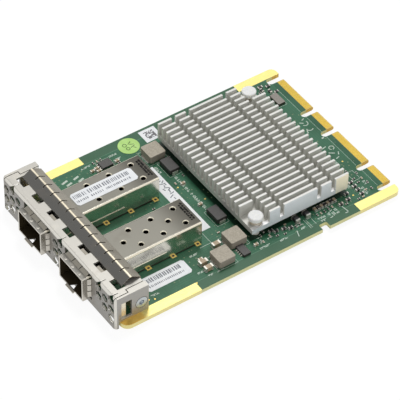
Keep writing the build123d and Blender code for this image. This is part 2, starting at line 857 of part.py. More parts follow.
def legged_chip(x, y, length, width, height):
    """A chip body and its gull legs, along both of its long sides."""
    body = block(x - length / 2, x + length / 2, y - width / 2, y + width / 2, chip_stand, height)
    legs = []
    for side in (-1, 1):
        for index in range(leg_count):
            place = x + (index - (leg_count - 1) / 2) * leg_pitch
            start = y + side * width / 2
            mid = start + side * leg_reach / 3
            end = start + side * leg_reach
            level = height / 2
            points = [(start, level), (mid, level), (end, leg_sheet), (end, 0),
                      (mid - side * leg_sheet, 0), (start, level - leg_sheet)]
            legs.append(prism_x(points, place - leg_width / 2, place + leg_width / 2))
    return body, legs


def clock_chip():
    """A flat metal-topped can with its pads underneath."""
    x, y = rear_place(-1, clock_shares)
    return block(x - clock_length / 2, x + clock_length / 2, y - clock_width / 2, y + clock_width / 2,
                 0, clock_height)


def chip_part(x, y, size, turned, face):
    """A chip component's body and its two metal ends; face is 1 on top and -1 underneath."""
    length, width, height = size
    end = length * terminal_share
    base = 0 if face > 0 else board_underside
    spans = ((end, length - end, 0), (0, end, terminal_proud), (length - end, length, terminal_proud))
    pieces = []
    for start, stop, proud in spans:
        low, high = sorted((base, base + face * (height + proud)))
        along = (start - length / 2, stop - length / 2)
        across = (-width / 2 - proud, width / 2 + proud)
        (x0, x1), (y0, y1) = (across, along) if turned else (along, across)
        pieces.append(block(x + x0, x + x1, y + y0, y + y1, low, high))
    return pieces


def ahead_place(side, shares):
    """A place in from one rail and ahead of the heat sink, in inductor sizes."""
    return side * (rail_inner - shares[0] * inductor_size), sink_front - shares[1] * inductor_size


def beside_place(shares):
    """A place in from the right rail and along the heat sink."""
    return rail_inner - shares[0] * inductor_size, sink_front + shares[1] * sink_length


def rear_place(side, shares):
    """A place in from one rail and ahead of the rear edge, in tab depths."""
    return side * (rail_inner - shares[0] * inductor_size), board_length - shares[1] * tab_depth


def regulator_place():
    """The regulator stands close beside the first right inductor."""
    x, y = ahead_place(1, right_inductor_shares[0])
    x += inductor_size / 2 + fixing_gap + small_chip_length / 2
    return x, sink_front - regulator_ahead_share * inductor_size


def board_chips():
    """Bodies and metal ends of the chip capacitors and resistors on the board's top."""
    capacitors, resistors, ends = [], [], []
    rows = [(ahead_place(1, pair), large_chip, True, capacitors) for pair in large_capacitor_shares]
    rows += [(beside_place(pair), large_chip, False, resistors) for pair in array_shares]
    rows += [(ahead_place(1, pair), medium_chip, True, capacitors) for pair in right_capacitor_shares]
    rows += [(ahead_place(-1, pair), medium_chip, True, capacitors) for pair in left_capacitor_shares]
    rows += [((across * cage_pitch, sink_front - ahead * inductor_size), medium_chip, True, capacitors)
             for across, ahead in middle_capacitor_shares]
    rows += [(beside_place(pair), medium_chip, True, resistors) for pair in cluster_shares]
    for index in range(edge_row_count):
        spot = beside_place((edge_row_share, edge_row_first_share + index * edge_row_step_share))
        rows.append((spot, medium_chip, False, resistors if index % 2 else capacitors))
    rows += [(rear_place(1, pair), medium_chip, True, resistors) for pair in rear_right_shares]
    rows += [(rear_place(-1, pair), medium_chip, False, resistors) for pair in rear_left_shares]
    for (x, y), size, turned, bodies in rows:
        body, first, second = chip_part(x, y, size, turned, 1)
        bodies.append(body)
        ends += [first, second]
    return capacitors, resistors, ends


def underside_chips():
    """Small capacitors under the controller, in a square grid, and their metal ends."""
    bodies, ends = [], []
    middle = (underside_count - 1) / 2
    for row in range(underside_count):
        for column in range(underside_count):
            x = (column - middle) * underside_step_share * package_size
            y = sink_middle + (row - middle) * underside_step_share * package_size
            body, first, second = chip_part(x, y, small_chip, False, -1)
            bodies.append(body)
            ends += [first, second]
    return bodies, ends


def label(x, front, width, length, base, corner):
    """A thin label that lies on a flat face."""
    sheet_label = block(x - width / 2, x + width / 2, front, front + length, base, base + label_thickness)
    return chamfer(sheet_label.edges().filter_by(Axis.Z), corner) if corner else sheet_label


def board_label():
    """The long label behind the cages."""
    front = cage_rear + board_label_gap
    return label(-board_label_offset, front, board_label_length, board_label_width, 0, 0)


def side_label():
    """The label between the right cage and the right rail, as long as a share of the cage."""
    inner = cage_pitch / 2 + cage_width / 2 + cage_pad_size / 2
    x = inner + side_label_place_share * (rail_inner - inner)
    return label(x, side_label_front, side_label_width, side_label_length_share * cage_length,
                 0, side_label_corner)


os.makedirs("parts", exist_ok=True)

save("circuit_board", [circuit_board()])
for name, pad in rail_pads().items():
    save(name, [pad])
save("edge_contacts_top", edge_contacts(1))
save("edge_contacts_underside", edge_contacts(-1))

save("front_bracket", [front_bracket()])
save("top_finger_strip", [finger_strip()])
for word, side in (("left", -1), ("right", 1)):
    save(f"{word}_bracket_screw", [bracket_screw(side)])
    save(f"{word}_fixing_block", [fixing_block(side)])
    save(f"{word}_side_spring", [side_spring(side)])

for word, middle in cage_places.items():
    save(f"{word}_port_cage", [port_cage(middle)])
    save(f"{word}_port_collar", [port_collar(middle)])
    save(f"{word}_host_connector", [host_connector(middle)])
    save(f"{word}_host_contacts", host_contacts(middle))
save("cage_pin_pads", pin_pads())

save("heat_sink", [heat_sink()])
for word, (x, y) in pin_places.items():
    save(f"{word}_push_pin", [push_pin(x, y)])
    save(f"{word}_push_pin_spring", [pin_spring(x, y)])
package, lid, pad = controller_parts()
save("controller_package", [package])
save("controller_lid", [lid])
save("thermal_pad", [pad])

inductor_places = {"left": ahead_place(-1, left_inductor_shares),
                   "middle": ahead_place(1, right_inductor_shares[0]),
                   "right": ahead_place(1, right_inductor_shares[1])}
inductor_terminals = []
for word, (x, y) in inductor_places.items():
    body, terminals = power_inductor(x, y)
    save(f"{word}_power_inductor", [body])
    inductor_terminals += terminals
save("inductor_terminals", inductor_terminals)

block_reach = block_length / 2 + block_taper + block_terminal_sheet
block_places = {"left": inductor_places["left"][0] + inductor_size / 2 + block_gap + block_reach,
                "right": cage_places["right"] - right_block_share * cage_width}
block_terminals = []
for word, x in block_places.items():
    body, terminals = block_capacitor(x, sink_front - block_ahead_share * inductor_size)
    save(f"{word}_block_capacitor", [body])
    block_terminals += terminals
save("block_capacitor_terminals", block_terminals)

body, chip_legs = legged_chip(*regulator_place(), small_chip_length, small_chip_width, small_chip_height)
save("regulator_chip", [body])
body, legs = legged_chip(*ahead_place(-1, flash_shares), flash_width, flash_length, flash_height)
save("flash_chip", [body])
save("chip_legs", chip_legs + legs)
save("clock_chip", [clock_chip()])

capacitors, resistors, ends = board_chips()
save("chip_capacitors", capacitors)
save("chip_resistors", resistors)
save("chip_ends", ends)
bodies, ends = underside_chips()
save("underside_chip_capacitors", bodies)
save("underside_chip_ends", ends)

save("cage_label", [label(cage_places["left"], cage_label_front, cage_label_width, cage_label_length,
                          cage_height, cage_label_corner)])
save("board_label", [board_label()])
save("side_label", [side_label()])
save("round_sticker", [facet_peg(-half_board + sticker_side_margin, cage_rear + sticker_behind_cages,
                                 0, label_thickness, sticker_radius, 2 * body_sides)])
save("code_label", [label(-half_board + code_label_side_margin, sink_front - code_label_ahead,
                          code_label_width, code_label_length, 0, 0)])
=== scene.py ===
import bpy, bmesh, math, random
from mathutils import Matrix, Vector


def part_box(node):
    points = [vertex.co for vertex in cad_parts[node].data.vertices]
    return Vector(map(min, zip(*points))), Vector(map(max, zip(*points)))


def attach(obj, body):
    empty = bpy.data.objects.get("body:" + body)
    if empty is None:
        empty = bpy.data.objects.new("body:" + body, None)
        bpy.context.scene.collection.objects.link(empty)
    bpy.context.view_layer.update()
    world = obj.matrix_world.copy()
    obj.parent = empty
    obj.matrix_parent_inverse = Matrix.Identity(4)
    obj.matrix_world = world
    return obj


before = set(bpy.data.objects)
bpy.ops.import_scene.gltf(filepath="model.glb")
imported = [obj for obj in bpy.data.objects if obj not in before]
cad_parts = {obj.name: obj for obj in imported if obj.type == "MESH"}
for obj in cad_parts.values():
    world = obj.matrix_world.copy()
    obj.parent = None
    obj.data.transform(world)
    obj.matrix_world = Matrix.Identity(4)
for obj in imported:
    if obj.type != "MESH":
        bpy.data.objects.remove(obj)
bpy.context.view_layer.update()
mm = 0.001
cardShift = Vector((0, -54.65, 2.9))    # mm, from the card's own places to the row's frame
print("frame loaded:", len(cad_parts), "nodes")

cameraView = {
    "azimuth": 54.294, "elevation": 45.115, "roll": 1.26,   # degrees
    "distance": 888.969, "lens": 239.32, "sensor": 36.0,    # mm
    "target": (19.314, -12.003, 23.212),
}


def addCamera(view):
    data = bpy.data.cameras.new("cardCamera")
    data.lens, data.sensor_width = view["lens"], view["sensor"]
    data.clip_start, data.clip_end = 0.01, 10
    camera = bpy.data.objects.new("cardCamera", data)
    bpy.context.scene.collection.objects.link(camera)
    turn = (Matrix.Rotation(math.radians(view["azimuth"]), 4, "Z")
            @ Matrix.Rotation(math.radians(90 - view["elevation"]), 4, "X")
            @ Matrix.Rotation(math.radians(view["roll"]), 4, "Z"))
    target = Vector(view["target"]) * mm
    back = turn.to_3x3() @ Vector((0, 0, 1))
    camera.matrix_world = Matrix.Translation(target + back * view["distance"] * mm) @ turn
    bpy.context.scene.camera = camera


addCamera(cameraView)
bpy.context.scene.view_settings.view_transform = "Standard"


def linear(colour):
    # a 0-255 screen colour as linear light
    return [v / 255 / 12.92 if v < 11 else ((v / 255 + 0.055) / 1.055) ** 2.4 for v in colour]    # the sRGB curve


def feed(socket, value):
    if isinstance(value, bpy.types.NodeSocket):
        socket.id_data.links.new(value, socket)     # a socket's id_data is its node tree
    elif socket.type == "RGBA":
        socket.default_value = (*linear(value), 1)
    else:
        socket.default_value = value


def addNode(tree, kind, settings=None, inputs=None):
    made = tree.nodes.new("ShaderNode" + kind)
    for key, value in (settings or {}).items():
        setattr(made, key, value)
    for key, value in (inputs or {}).items():
        feed(made.inputs[key], value)
    return made


def calc(operation, first, second=0.0):
    return addNode(first.id_data, "Math", {"operation": operation}, {0: first, 1: second}).outputs[0]


def rise(value, low, high, start=0.0, end=1.0):
    settings = {"interpolation_type": "SMOOTHSTEP", "clamp": True}
    inputs = {"Value": value, "From Min": low, "From Max": high, "To Min": start, "To Max": end}
    return addNode(value.id_data, "MapRange", settings, inputs).outputs[0]


def past(value, level, soft=0.03):
    # 0 below the level and 1 above it
    return rise(value, level - soft, level + soft)


def scaled(value, share):
    return calc("MULTIPLY", value, share)


def within(value, low, high, soft):
    return scaled(past(value, low, soft), rise(value, high - soft, high + soft, 1.0, 0.0))


def tint(share, first, second):
    return addNode(share.id_data, "Mix", {"data_type": "RGBA"}, {0: share, 6: first, 7: second}).outputs[2]


def blend(share, first, second):
    return addNode(share.id_data, "Mix", None, {0: share, 2: first, 3: second}).outputs[0]


def cloud(where, grain, detail=3.0, stretch=None):
    tree = where.id_data
    if stretch:
        where = addNode(tree, "Mapping", None, {"Vector": where, "Scale": stretch}).outputs[0]
    return addNode(tree, "TexNoise", None, {"Vector": where, "Scale": grain, "Detail": detail}).outputs["Fac"]


def startFinish(name, metallic=0.0):
    # a new material, and the place on the card in mm with the face's direction
    material = bpy.data.materials.new(name)
    material.use_nodes = True
    tree = material.node_tree
    shader = tree.nodes["Principled BSDF"]
    feed(shader.inputs["Metallic"], metallic)
    source = addNode(tree, "TexCoord")
    fit = addNode(tree, "Mapping", None, {"Vector": source.outputs["Object"], "Scale": (1000, 1000, 1000),
                                          "Location": tuple(-cardShift)})
    spot = {"where": fit.outputs[0]}
    for keys, vector in ((("x", "y", "z"), fit.outputs[0]), (("nx", "ny", "nz"), source.outputs["Normal"])):
        spot.update(zip(keys, addNode(tree, "SeparateXYZ", None, {0: vector}).outputs))
    return material, shader, spot


def softEdges(shader, radius, relief, depth, wear=None):
    # rounds each sharp edge in the shading, lays the relief over it, and finds where the edges are worn
    tree = shader.id_data
    rounded = addNode(tree, "Bevel", {"samples": 4}, {"Radius": radius * mm}).outputs[0]
    normal = addNode(tree, "Bump", None, {"Strength": 1.0, "Distance": depth * mm, "Height": relief,
                                          "Normal": rounded}).outputs[0]
    feed(shader.inputs["Normal"], normal)
    if wear:
        flat = addNode(tree, "NewGeometry").outputs["Normal"]
        turned = addNode(tree, "VectorMath", {"operation": "DOT_PRODUCT"}, {0: rounded, 1: flat}).outputs["Value"]
        return rise(turned, 0.99, 0.86, 0.0, wear)


def linkLook(shader, colour, grain, roughness, down, up):
    # the colour, and a gloss that follows the grain
    feed(shader.inputs["Base Color"], colour)
    feed(shader.inputs["Roughness"], rise(grain, 0.3, 0.7, roughness - down, roughness + up))


studio = {
    "white": (255, 255, 255), "world": 0.44, "floorSize": 3.0, "floorShadow": 0.12, "floorGlow": 1.04,
    # each lamp's place and size in m, and its power in W
    "lamps": {"keyLamp": ((-0.25, 0.2, 0.8), 0.2, 3.2), "fillLamp": ((0.7, -0.15, 0.42), 0.6, 0.8)},
}


def addLamp(name, place, size, power):
    data = bpy.data.lights.new(name, "AREA")
    data.shape, data.size, data.energy = "SQUARE", size, power
    lamp = bpy.data.objects.new(name, data)
    bpy.context.scene.collection.objects.link(lamp)
    lamp.location = place
    lamp.rotation_euler = (-Vector(place)).to_track_quat("-Z", "Y").to_euler()


def whiteForCamera(tree):
    path = addNode(tree, "LightPath")
    seen = calc("MAXIMUM", path.outputs["Is Camera Ray"], path.outputs["Is Glossy Ray"])
    return calc("MAXIMUM", seen, path.outputs["Is Transmission Ray"])


def lightStudio(values):
    world = bpy.data.worlds.new("studioWorld")
    bpy.context.scene.world = world
    world.use_nodes = True
    tree = world.node_tree
    tree.nodes.clear()
    soft = addNode(tree, "Background", None, {"Color": values["white"], "Strength": values["world"]})
    bright = addNode(tree, "Background", None, {"Color": values["white"], "Strength": 1.0})
    mix = addNode(tree, "MixShader", None, {0: whiteForCamera(tree), 1: soft.outputs[0], 2: bright.outputs[0]})
    tree.links.new(mix.outputs[0], addNode(tree, "OutputWorld").inputs["Surface"])
    for name, (place, size, power) in values["lamps"].items():
        addLamp(name, place, size, power)


def addFloor(values):
    # white to the camera, apart from the card's shadow
    shape = bmesh.new()
    bmesh.ops.create_grid(shape, x_segments=1, y_segments=1, size=values["floorSize"] / 2)
    mesh = bpy.data.meshes.new("studioFloor")
    shape.to_mesh(mesh); shape.free()
    floor = bpy.data.objects.new("studioFloor", mesh)
    bpy.context.scene.collection.objects.link(floor)
    material = bpy.data.materials.new("floorPaper")
    material.use_nodes = True
    tree = material.node_tree
    shader = tree.nodes["Principled BSDF"]
    feed(shader.inputs["Base Color"], values["white"])
    feed(shader.inputs["Roughness"], 0.9)
    glow = addNode(tree, "Emission", None, {"Color": values["white"], "Strength": values["floorGlow"]})
    share = scaled(whiteForCamera(tree), 1 - values["floorShadow"])
    mix = addNode(tree, "MixShader", None, {0: share, 1: shader.outputs[0], 2: glow.outputs[0]})
    tree.links.new(mix.outputs[0], tree.nodes["Material Output"].inputs["Surface"])
    mesh.materials.append(material)


lightStudio(studio)
addFloor(studio)
print("studio ready")


def cardPoint(x, y, z):
    return (Vector((x, y, z)) + cardShift) * mm


def cardBox(name):
    # a node's lowest, highest and middle corners on the card, in mm
    lowest, highest = (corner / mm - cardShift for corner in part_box(name))
    return lowest, highest, (lowest + highest) / 2


def cageWalls():
    # the cages' four side walls, as (x, side)
    for word in ("left", "right"):
        lowest, highest = cardBox(word + "_port_cage")[:2]
        yield lowest.x, -1
        yield highest.x, 1


finishes = {}


def dress(make, rows):
    # makes each finish and lays it on the nodes that it names
    for name, values, nodes in rows:
        finishes[name] = make(name, values)
        for node in nodes.split():
            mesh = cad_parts[node].data
            mesh.materials.clear()
            mesh.materials.append(finishes[name])


def finishPiece(name, shape, finish):
    bmesh.ops.recalc_face_normals(shape, faces=shape.faces)
    mesh = bpy.data.meshes.new(name)
    shape.to_mesh(mesh); shape.free()
    mesh.materials.append(finishes[finish])
    piece = bpy.data.objects.new(name, mesh)
    bpy.context.scene.collection.objects.link(piece)
    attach(piece, "root")


def addBlock(shape, x, y, z, width, length, height, turn=0.0):
    # a block that stands on level z, all in mm
    where = (Matrix.Translation(cardPoint(x, y, z + height / 2)) @ Matrix.Rotation(math.radians(turn), 4, "Z")
             @ Matrix.Diagonal((width * mm, length * mm, height * mm, 1)))
    return bmesh.ops.create_cube(shape, size=1, matrix=where)["verts"]


def islandBoxes(name):
    # the box of each loose part of a node, from a merged copy of its mesh
    shape = bmesh.new()
    shape.from_mesh(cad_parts[name].data)
    bmesh.ops.remove_doubles(shape, verts=shape.verts, dist=1e-7)
    left, boxes = set(shape.verts), []
    while left:
        reached, edge = set(), [left.pop()]
        while edge:
            corner = edge.pop()
            reached.add(corner)
            for link in corner.link_edges:
                other = link.other_vert(corner)
                if other in left:
                    left.discard(other)
                    edge.append(other)
        spots = [corner.co / mm - cardShift for corner in reached]
        boxes.append((min(s.x for s in spots), max(s.x for s in spots), min(s.y for s in spots),
                      max(s.y for s in spots), min(s.z for s in spots)))
    shape.free()
    return boxes


def addMarks(shape, marks, height, x=0, y=0, z=0):
    # bars as (x, y, across, along, turn)
    for right, back, across, along, turn in marks:
        addBlock(shape, x + right, y + back, z, across, along, height, turn)


def roundEdges(shape, edges, offset):
    bmesh.ops.bevel(shape, geom=edges, offset=offset * mm, affect="EDGES", segments=1, profile=0.5, material=-1)


def addRing(shape, x, y, z, profile, steps, axis=(0, 0, 1)):
    # a closed ring from its profile's corners, as (reach, level) along the axis, all in mm
    centre, axis = cardPoint(x, y, z), Vector(axis)
    out = axis.orthogonal().normalized()
    corners = [shape.verts.new(centre + (out * reach + axis * level) * mm) for reach, level in profile]
    rims = [shape.edges.new((corner, corners[(index + 1) % len(corners)])) for index, corner in enumerate(corners)]
    bmesh.ops.spin(shape, geom=corners + rims, cent=centre, axis=axis, angle=2 * math.pi,
                   steps=steps, use_merge=True)


def addDisc(shape, x, y, z, radius, height, steps):
    ring = bmesh.ops.create_circle(shape, segments=steps, radius=radius * mm, cap_ends=True,
                                   matrix=Matrix.Translation(cardPoint(x, y, z)))["verts"]
    face = ring[0].link_faces[0]
    top = bmesh.ops.extrude_face_region(shape, geom=[face], use_keep_orig=True)["geom"]
    moved = [part for part in top if isinstance(part, bmesh.types.BMVert)]
    bmesh.ops.translate(shape, vec=(0, 0, height * mm), verts=moved)


boardLook = {
    "specular": 0.3, "coat": 0.04, "mask": (46, 99, 70), "maskLight": (56, 113, 84), "maskDark": (30, 76, 52),
    # painted shade under the heat sink: its tone, share and place
    "under": (14, 32, 20), "underShadeShare": 0.85, "underHalf": 28.8, "underStart": 57.3, "underEnd": 99.0,
    "holeRim": (150, 165, 128), "hole": (24, 42, 32), "holeGrain": 0.42,
    "rail": (61, 101, 75), "railStart": 34.2, "railLine": (170, 190, 170), "railLineIn": (0.28, 0.12),
    "railLineShare": 0.25, "runsOut": 0.4,
    "bare": (238, 237, 184), "bareDeep": (213, 208, 150), "tabBare": (222, 190, 92), "tabFibre": (232, 200, 108),
    "tabShade": 109.8, "tabShadeShare": 0.55, "tabStart": 111.9, "tabEdge": (226, 188, 96),
    "busPitch": 0.62, "busStart": 99.5, "busEnd": 109.2, "runsEnd": (99.0, 99.6), "runShare": 0.55,
    "edge": 0.12, "relief": 0.02,
}


def addRuns(where, offset, every, squash, line, length, pitch):
    # copper runs, as the joints of a brick pattern
    return addNode(where.id_data, "TexBrick", {"offset": offset, "offset_frequency": every, "squash": squash},
                   {"Vector": where, "Scale": 1.0, "Mortar Size": line, "Mortar Smooth": 0.2,
                    "Brick Width": length, "Row Height": pitch}).outputs["Fac"]


def boardFinish(name, look):
    material, shader, spot = startFinish(name)
    feed(shader.inputs["Coat Weight"], look["coat"])
    feed(shader.inputs["Specular IOR Level"], look["specular"])
    where, y, reach = spot["where"], spot["y"], calc("ABSOLUTE", spot["x"])
    drift = rise(cloud(where, 0.09, 4), 0.35, 0.65)
    colour = tint(drift, look["mask"], look["maskLight"])
    # copper runs that show through the mask: long ones, cross ones, and the bus in front of the tabs
    tree = material.node_tree
    turned = addNode(tree, "Mapping", None, {"Vector": where, "Rotation": (0, 0, math.radians(90)),
                                             "Location": (3.1, 1.7, 0)}).outputs[0]
    runs = blend(rise(cloud(where, 0.055, 1), 0.47, 0.53), addRuns(where, 0.37, 3, 1.6, 0.09, 7.3, 1.15),
                 addRuns(turned, 0.61, 2, 1.3, 0.1, 11.0, 0.95))
    busPhase = calc("FRACT", scaled(spot["x"], 1 / look["busPitch"]))
    bus = scaled(within(busPhase, 0.25, 0.75, 0.12), within(y, look["busStart"], look["busEnd"], 0.3))
    quiet = within(reach, -1.0, look["railStart"] - look["runsOut"], 0.1)
    copper = calc("MAXIMUM", scaled(runs, rise(y, *look["runsEnd"], 0.75, 0.0)), scaled(bus, 0.9))
    copper = scaled(copper, quiet)
    colour = tint(scaled(copper, look["runShare"]), colour, look["maskDark"])
    # painted shade on the mask under the heat sink
    deep = within(y, look["underStart"], look["underEnd"], 0.3)
    under = scaled(within(reach, -1.0, look["underHalf"], 0.1), deep)
    colour = tint(scaled(under, look["underShadeShare"]), colour, look["under"])
    # plated through-holes, small and bright-rimmed
    holes = addNode(tree, "TexVoronoi", {"voronoi_dimensions": "2D"},
                    {"Vector": where, "Scale": look["holeGrain"], "Randomness": 0.9}).outputs["Distance"]
    area = scaled(rise(cloud(where, 0.13, 1), 0.5, 0.56), quiet)
    for key, outer, inner in (("holeRim", 0.11, 0.08), ("hole", 0.06, 0.03)):
        colour = tint(scaled(rise(holes, outer, inner), area), colour, look[key])
    # the paler rail bands with a thin printed line inside them
    colour = tint(past(reach, look["railStart"], 0.05), colour, look["rail"])
    line = within(reach, *(look["railStart"] - inset for inset in look["railLineIn"]), 0.03)
    colour = tint(scaled(line, look["railLineShare"]), colour, look["railLine"])
    # the darker mask between the tabs' printed line and their contacts
    colour = tint(scaled(past(y, look["tabShade"], 0.05), look["tabShadeShare"]), colour, look["maskDark"])
    # bare laminate on the tabs' contact zone and on every cut edge
    fibre, onTab = cloud(where, 1.4, 4, (0.25, 0.25, 6.0)), past(y, look["tabStart"])
    colour = tint(onTab, colour, tint(fibre, look["tabBare"], look["tabFibre"]))
    edge = rise(calc("ABSOLUTE", spot["nz"]), 0.75, 0.6)
    bare = tint(onTab, tint(fibre, look["bare"], look["bareDeep"]), look["tabEdge"])
    feed(shader.inputs["Base Color"], tint(edge, colour, bare))
    gloss = calc("MAXIMUM", rise(drift, 0, 1, 0.3, 0.42), scaled(edge, 0.8))
    feed(shader.inputs["Roughness"], gloss)
    softEdges(shader, look["edge"], copper, look["relief"])
    return material


def goldFinish(name, values):
    # plating with rub marks along the way that the card slides
    material, shader, spot = startFinish(name, values["metallic"])
    rubbed = cloud(spot["where"], 1.6, 4, (5.0, 0.35, 5.0))
    worn = rise(cloud(spot["where"], 0.35, 3), 0.4, 0.7)
    colour = tint(rise(rubbed, 0.3, 0.8), values["pale"], values["mid"])
    colour = tint(scaled(worn, 0.6), colour, values["pale"])
    # the side faces take the deep tone: painted shade on the sides of the contacts and pads, and the board's pale
    # cut edge on the rail pads
    colour = tint(rise(calc("ABSOLUTE", spot["nz"]), 0.8, 0.4), colour, values["deep"])
    # a painted shadow of the bracket across the rail pads' front ends, mottled by the rub marks
    if "bracketShadow" in values:
        start, end, shade = values["bracketShadow"]
        shadeMask = scaled(rise(spot["y"], start, end), rise(spot["nz"], 0.5, 0.8))
        colour = tint(scaled(shadeMask, rise(rubbed, 0.2, 0.8, 0.65, 1.0)), colour, shade)
    linkLook(shader, colour, rubbed, values["roughness"], 0.07, 0.1)
    softEdges(shader, values["edge"], rubbed, 0.0012)
    return material


sheetBase = {"roughness": 0.3, "grain": 2.0, "brush": (2.0, 0.5, 2.0), "depth": 0.004, "edge": 0.08, "wear": 0.5,
             "smudgeSize": 0.3, "smudge": 0.3, "sides": [], "glossSides": [], "glossSpread": 0.2}


def sheetFinish(name, changes):
    # rolled sheet: fine lines one way, handling smudges, brighter worn edges, and painted light and shade for each
    # side
    values = {**sheetBase, **changes}
    material, shader, spot = startFinish(name, values["metallic"])
    lines = cloud(spot["where"], values["grain"], 3, values["brush"])
    colour = tint(lines, values["pale"], values["mid"])
    # painted light and shade by each face's direction: bright bends are painted highlights, darker faces painted
    # shade
    for axis, low, high, shade in values["sides"]:
        colour = tint(rise(spot[axis], low, high), colour, shade)
    # painted shade: the top faces darken towards the rear; on the collars it is the shadow under the bracket's edge
    if "topShadeFade" in values:
        front, rear, start, end = values["topShadeFade"]
        fade = tint(rise(spot["y"], start, end), front, rear)
        colour = tint(rise(spot["nz"], 0.93, 0.985), colour, fade)
    # a painted highlight along the top of the strip's crown
    if "crown" in values:
        start, end, shade = values["crown"]
        crown = scaled(within(spot["y"], start, end, 0.14), rise(spot["nz"], 0.94, 0.99))
        colour = tint(crown, colour, shade)
    smudge = rise(cloud(spot["where"], values["smudgeSize"], 5), 0.5, 0.72)
    colour = tint(scaled(smudge, values["smudge"]), colour, values["stain"])
    worn = softEdges(shader, values["edge"], lines, values["depth"], values["wear"])
    colour = tint(worn, colour, values["worn"])
    rough, spread = values["roughness"], values["glossSpread"]
    gloss = rise(calc("ADD", lines, scaled(smudge, 0.6)), 0.35, 1.1, rough - spread * 0.3, rough + spread * 0.7)
    for axis, low, high, level in values["glossSides"]:
        gloss = blend(rise(spot[axis], low, high), gloss, level)
    if "inside" in values:
        # painted shade on the inside of each cage, but not on the pale tongue outside its mouth
        middle, half, level, mouth, shade = values["inside"]
        across = calc("ABSOLUTE", calc("SUBTRACT", calc("ABSOLUTE", spot["x"]), middle))
        shadeMask = scaled(rise(across, half + 0.03, half - 0.03), rise(spot["z"], level + 0.03, level - 0.03))
        shadeMask = scaled(shadeMask, rise(spot["y"], mouth, mouth + 0.15))
        # painted highlight along the drawn corner at the top of each wall
        low, bright = values["rimHighlight"]
        rimGlint = scaled(rise(calc("ABSOLUTE", spot["nx"]), 0.3, 0.5), past(spot["z"], low))
        rimGlint = scaled(rimGlint, rise(shadeMask, 1.0, 0.0))
        colour = tint(shadeMask, tint(rimGlint, colour, bright), shade)
        # the metal is turned off where shade and highlight are painted, so that the painted colours show
        dull = calc("MAXIMUM", shadeMask, scaled(rimGlint, 0.6))
        feed(shader.inputs["Metallic"], rise(dull, 0, 1, values["metallic"], 0.0))
    feed(shader.inputs["Base Color"], colour)
    feed(shader.inputs["Roughness"], gloss)
    return material


def sinkFinish(name, values):
    # drawn aluminium: lines along the fins, painted shade down in the gaps, painted light and reflection on the
    # outer faces, painted highlights at their feet, and bright sawn tops
    material, shader, spot = startFinish(name, values["metallic"])
    lines = cloud(spot["where"], 2.2, 4, (1.0, 0.12, 3.0))
    colour = tint(lines, values["wall"], values["wallDeep"])
    # painted shade, deepening down into the gaps between the fins
    down = rise(spot["z"], values["topLevel"] - 0.4, values["floorLevel"], 0.0, values["shade"])
    colour = tint(down, colour, values["gap"])
    # painted light on the outer fins' outer faces, and a painted warm reflection on their rear part
    outer = scaled(rise(spot["nx"], 0.6, 0.9), rise(spot["x"], values["side"] - 0.3, values["side"]))
    near = tint(lines, values["outer"], values["outerLitDeep"])
    near = tint(rise(spot["y"], values["rearReflectionStart"] - 0.2, values["rearReflectionStart"]), near, values["rear"])
    colour = tint(outer, colour, near)
    lid = rise(spot["nz"], 0.6, 0.9)
    top = scaled(lid, rise(spot["z"], values["topLevel"] - 0.3, values["topLevel"] - 0.1))
    sawn = cloud(spot["where"], 3.0, 3, (0.6, 4.0, 1.0))
    # painted shade on the upward faces down in the gaps
    colour = tint(scaled(lid, 0.55), colour, values["gap"])
    # a painted highlight on the channel floors by the outer fins
    foot = scaled(lid, rise(spot["x"], values["footStart"] - 0.2, values["footStart"]))
    colour = tint(foot, colour, values["foot"])
    colour = tint(top, colour, tint(sawn, values["top"], values["topDeep"]))
    linkLook(shader, colour, lines, values["roughness"], 0.08, 0.1)
    softEdges(shader, values["edge"], lines, values["depth"])
    return material


mouldedBase = {"metallic": 0.0, "grain": 4.0, "driftSize": 0.25, "depth": 0.006, "wear": 0.25}


def mouldedFinish(name, changes):
    # moulded or pressed body: fine grains, a slow drift of tone, softened edges, and painted shade on the side faces
    # where a side tone is given
    values = {**mouldedBase, "worn": changes["pale"], **changes}
    material, shader, spot = startFinish(name, values["metallic"])
    grains = cloud(spot["where"], values["grain"], 2)
    drift = cloud(spot["where"], values["driftSize"], 3)
    colour = tint(rise(grains, 0.35, 0.65), values["pale"], values["deep"])
    colour = tint(scaled(rise(drift, 0.4, 0.7), 0.4), colour, values["deep"])
    # painted shade: the side faces darker than the tops
    if "side" in values:
        colour = tint(rise(spot["nz"], 0.7, 0.4), colour, values["side"])
    worn = softEdges(shader, values["edge"], grains, values["depth"], values["wear"])
    colour = tint(worn, colour, values["worn"])
    linkLook(shader, colour, grains, values["roughness"], 0.08, 0.08)
    if "glow" in values:
        feed(shader.inputs["Subsurface Weight"], values["glow"])
        feed(shader.inputs["Subsurface Radius"], (0.8 * mm, 0.8 * mm, 0.7 * mm))
        feed(shader.inputs["Subsurface Scale"], 1.0)
    return material


def wireFinish(name, values):
    # spring wire, tinned ends and solder: bright with a fine uneven skin
    material, shader, spot = startFinish(name, values["metallic"])
    skin = cloud(spot["where"], values["grain"], 4)
    colour = tint(rise(skin, 0.3, 0.7), values["pale"], values["deep"])
    linkLook(shader, colour, skin, values["roughness"], 0.08, 0.12)
    softEdges(shader, values["edge"], skin, 0.01)
    return material


def paperFinish(name, values):
    # label stock, its gloss uneven with its fibres
    material, shader, spot = startFinish(name)
    fibres = cloud(spot["where"], 3.5, 5)
    mottle = cloud(spot["where"], 0.3, 2)
    colour = tint(rise(mottle, 0.35, 0.65), values["pale"], values["deep"])
    colour = tint(scaled(rise(fibres, 0.5, 0.8), 0.3), colour, values["deep"])
    linkLook(shader, colour, fibres, 0.57, 0.09, 0.09)
    softEdges(shader, 0.04, fibres, 0.006)
    return material


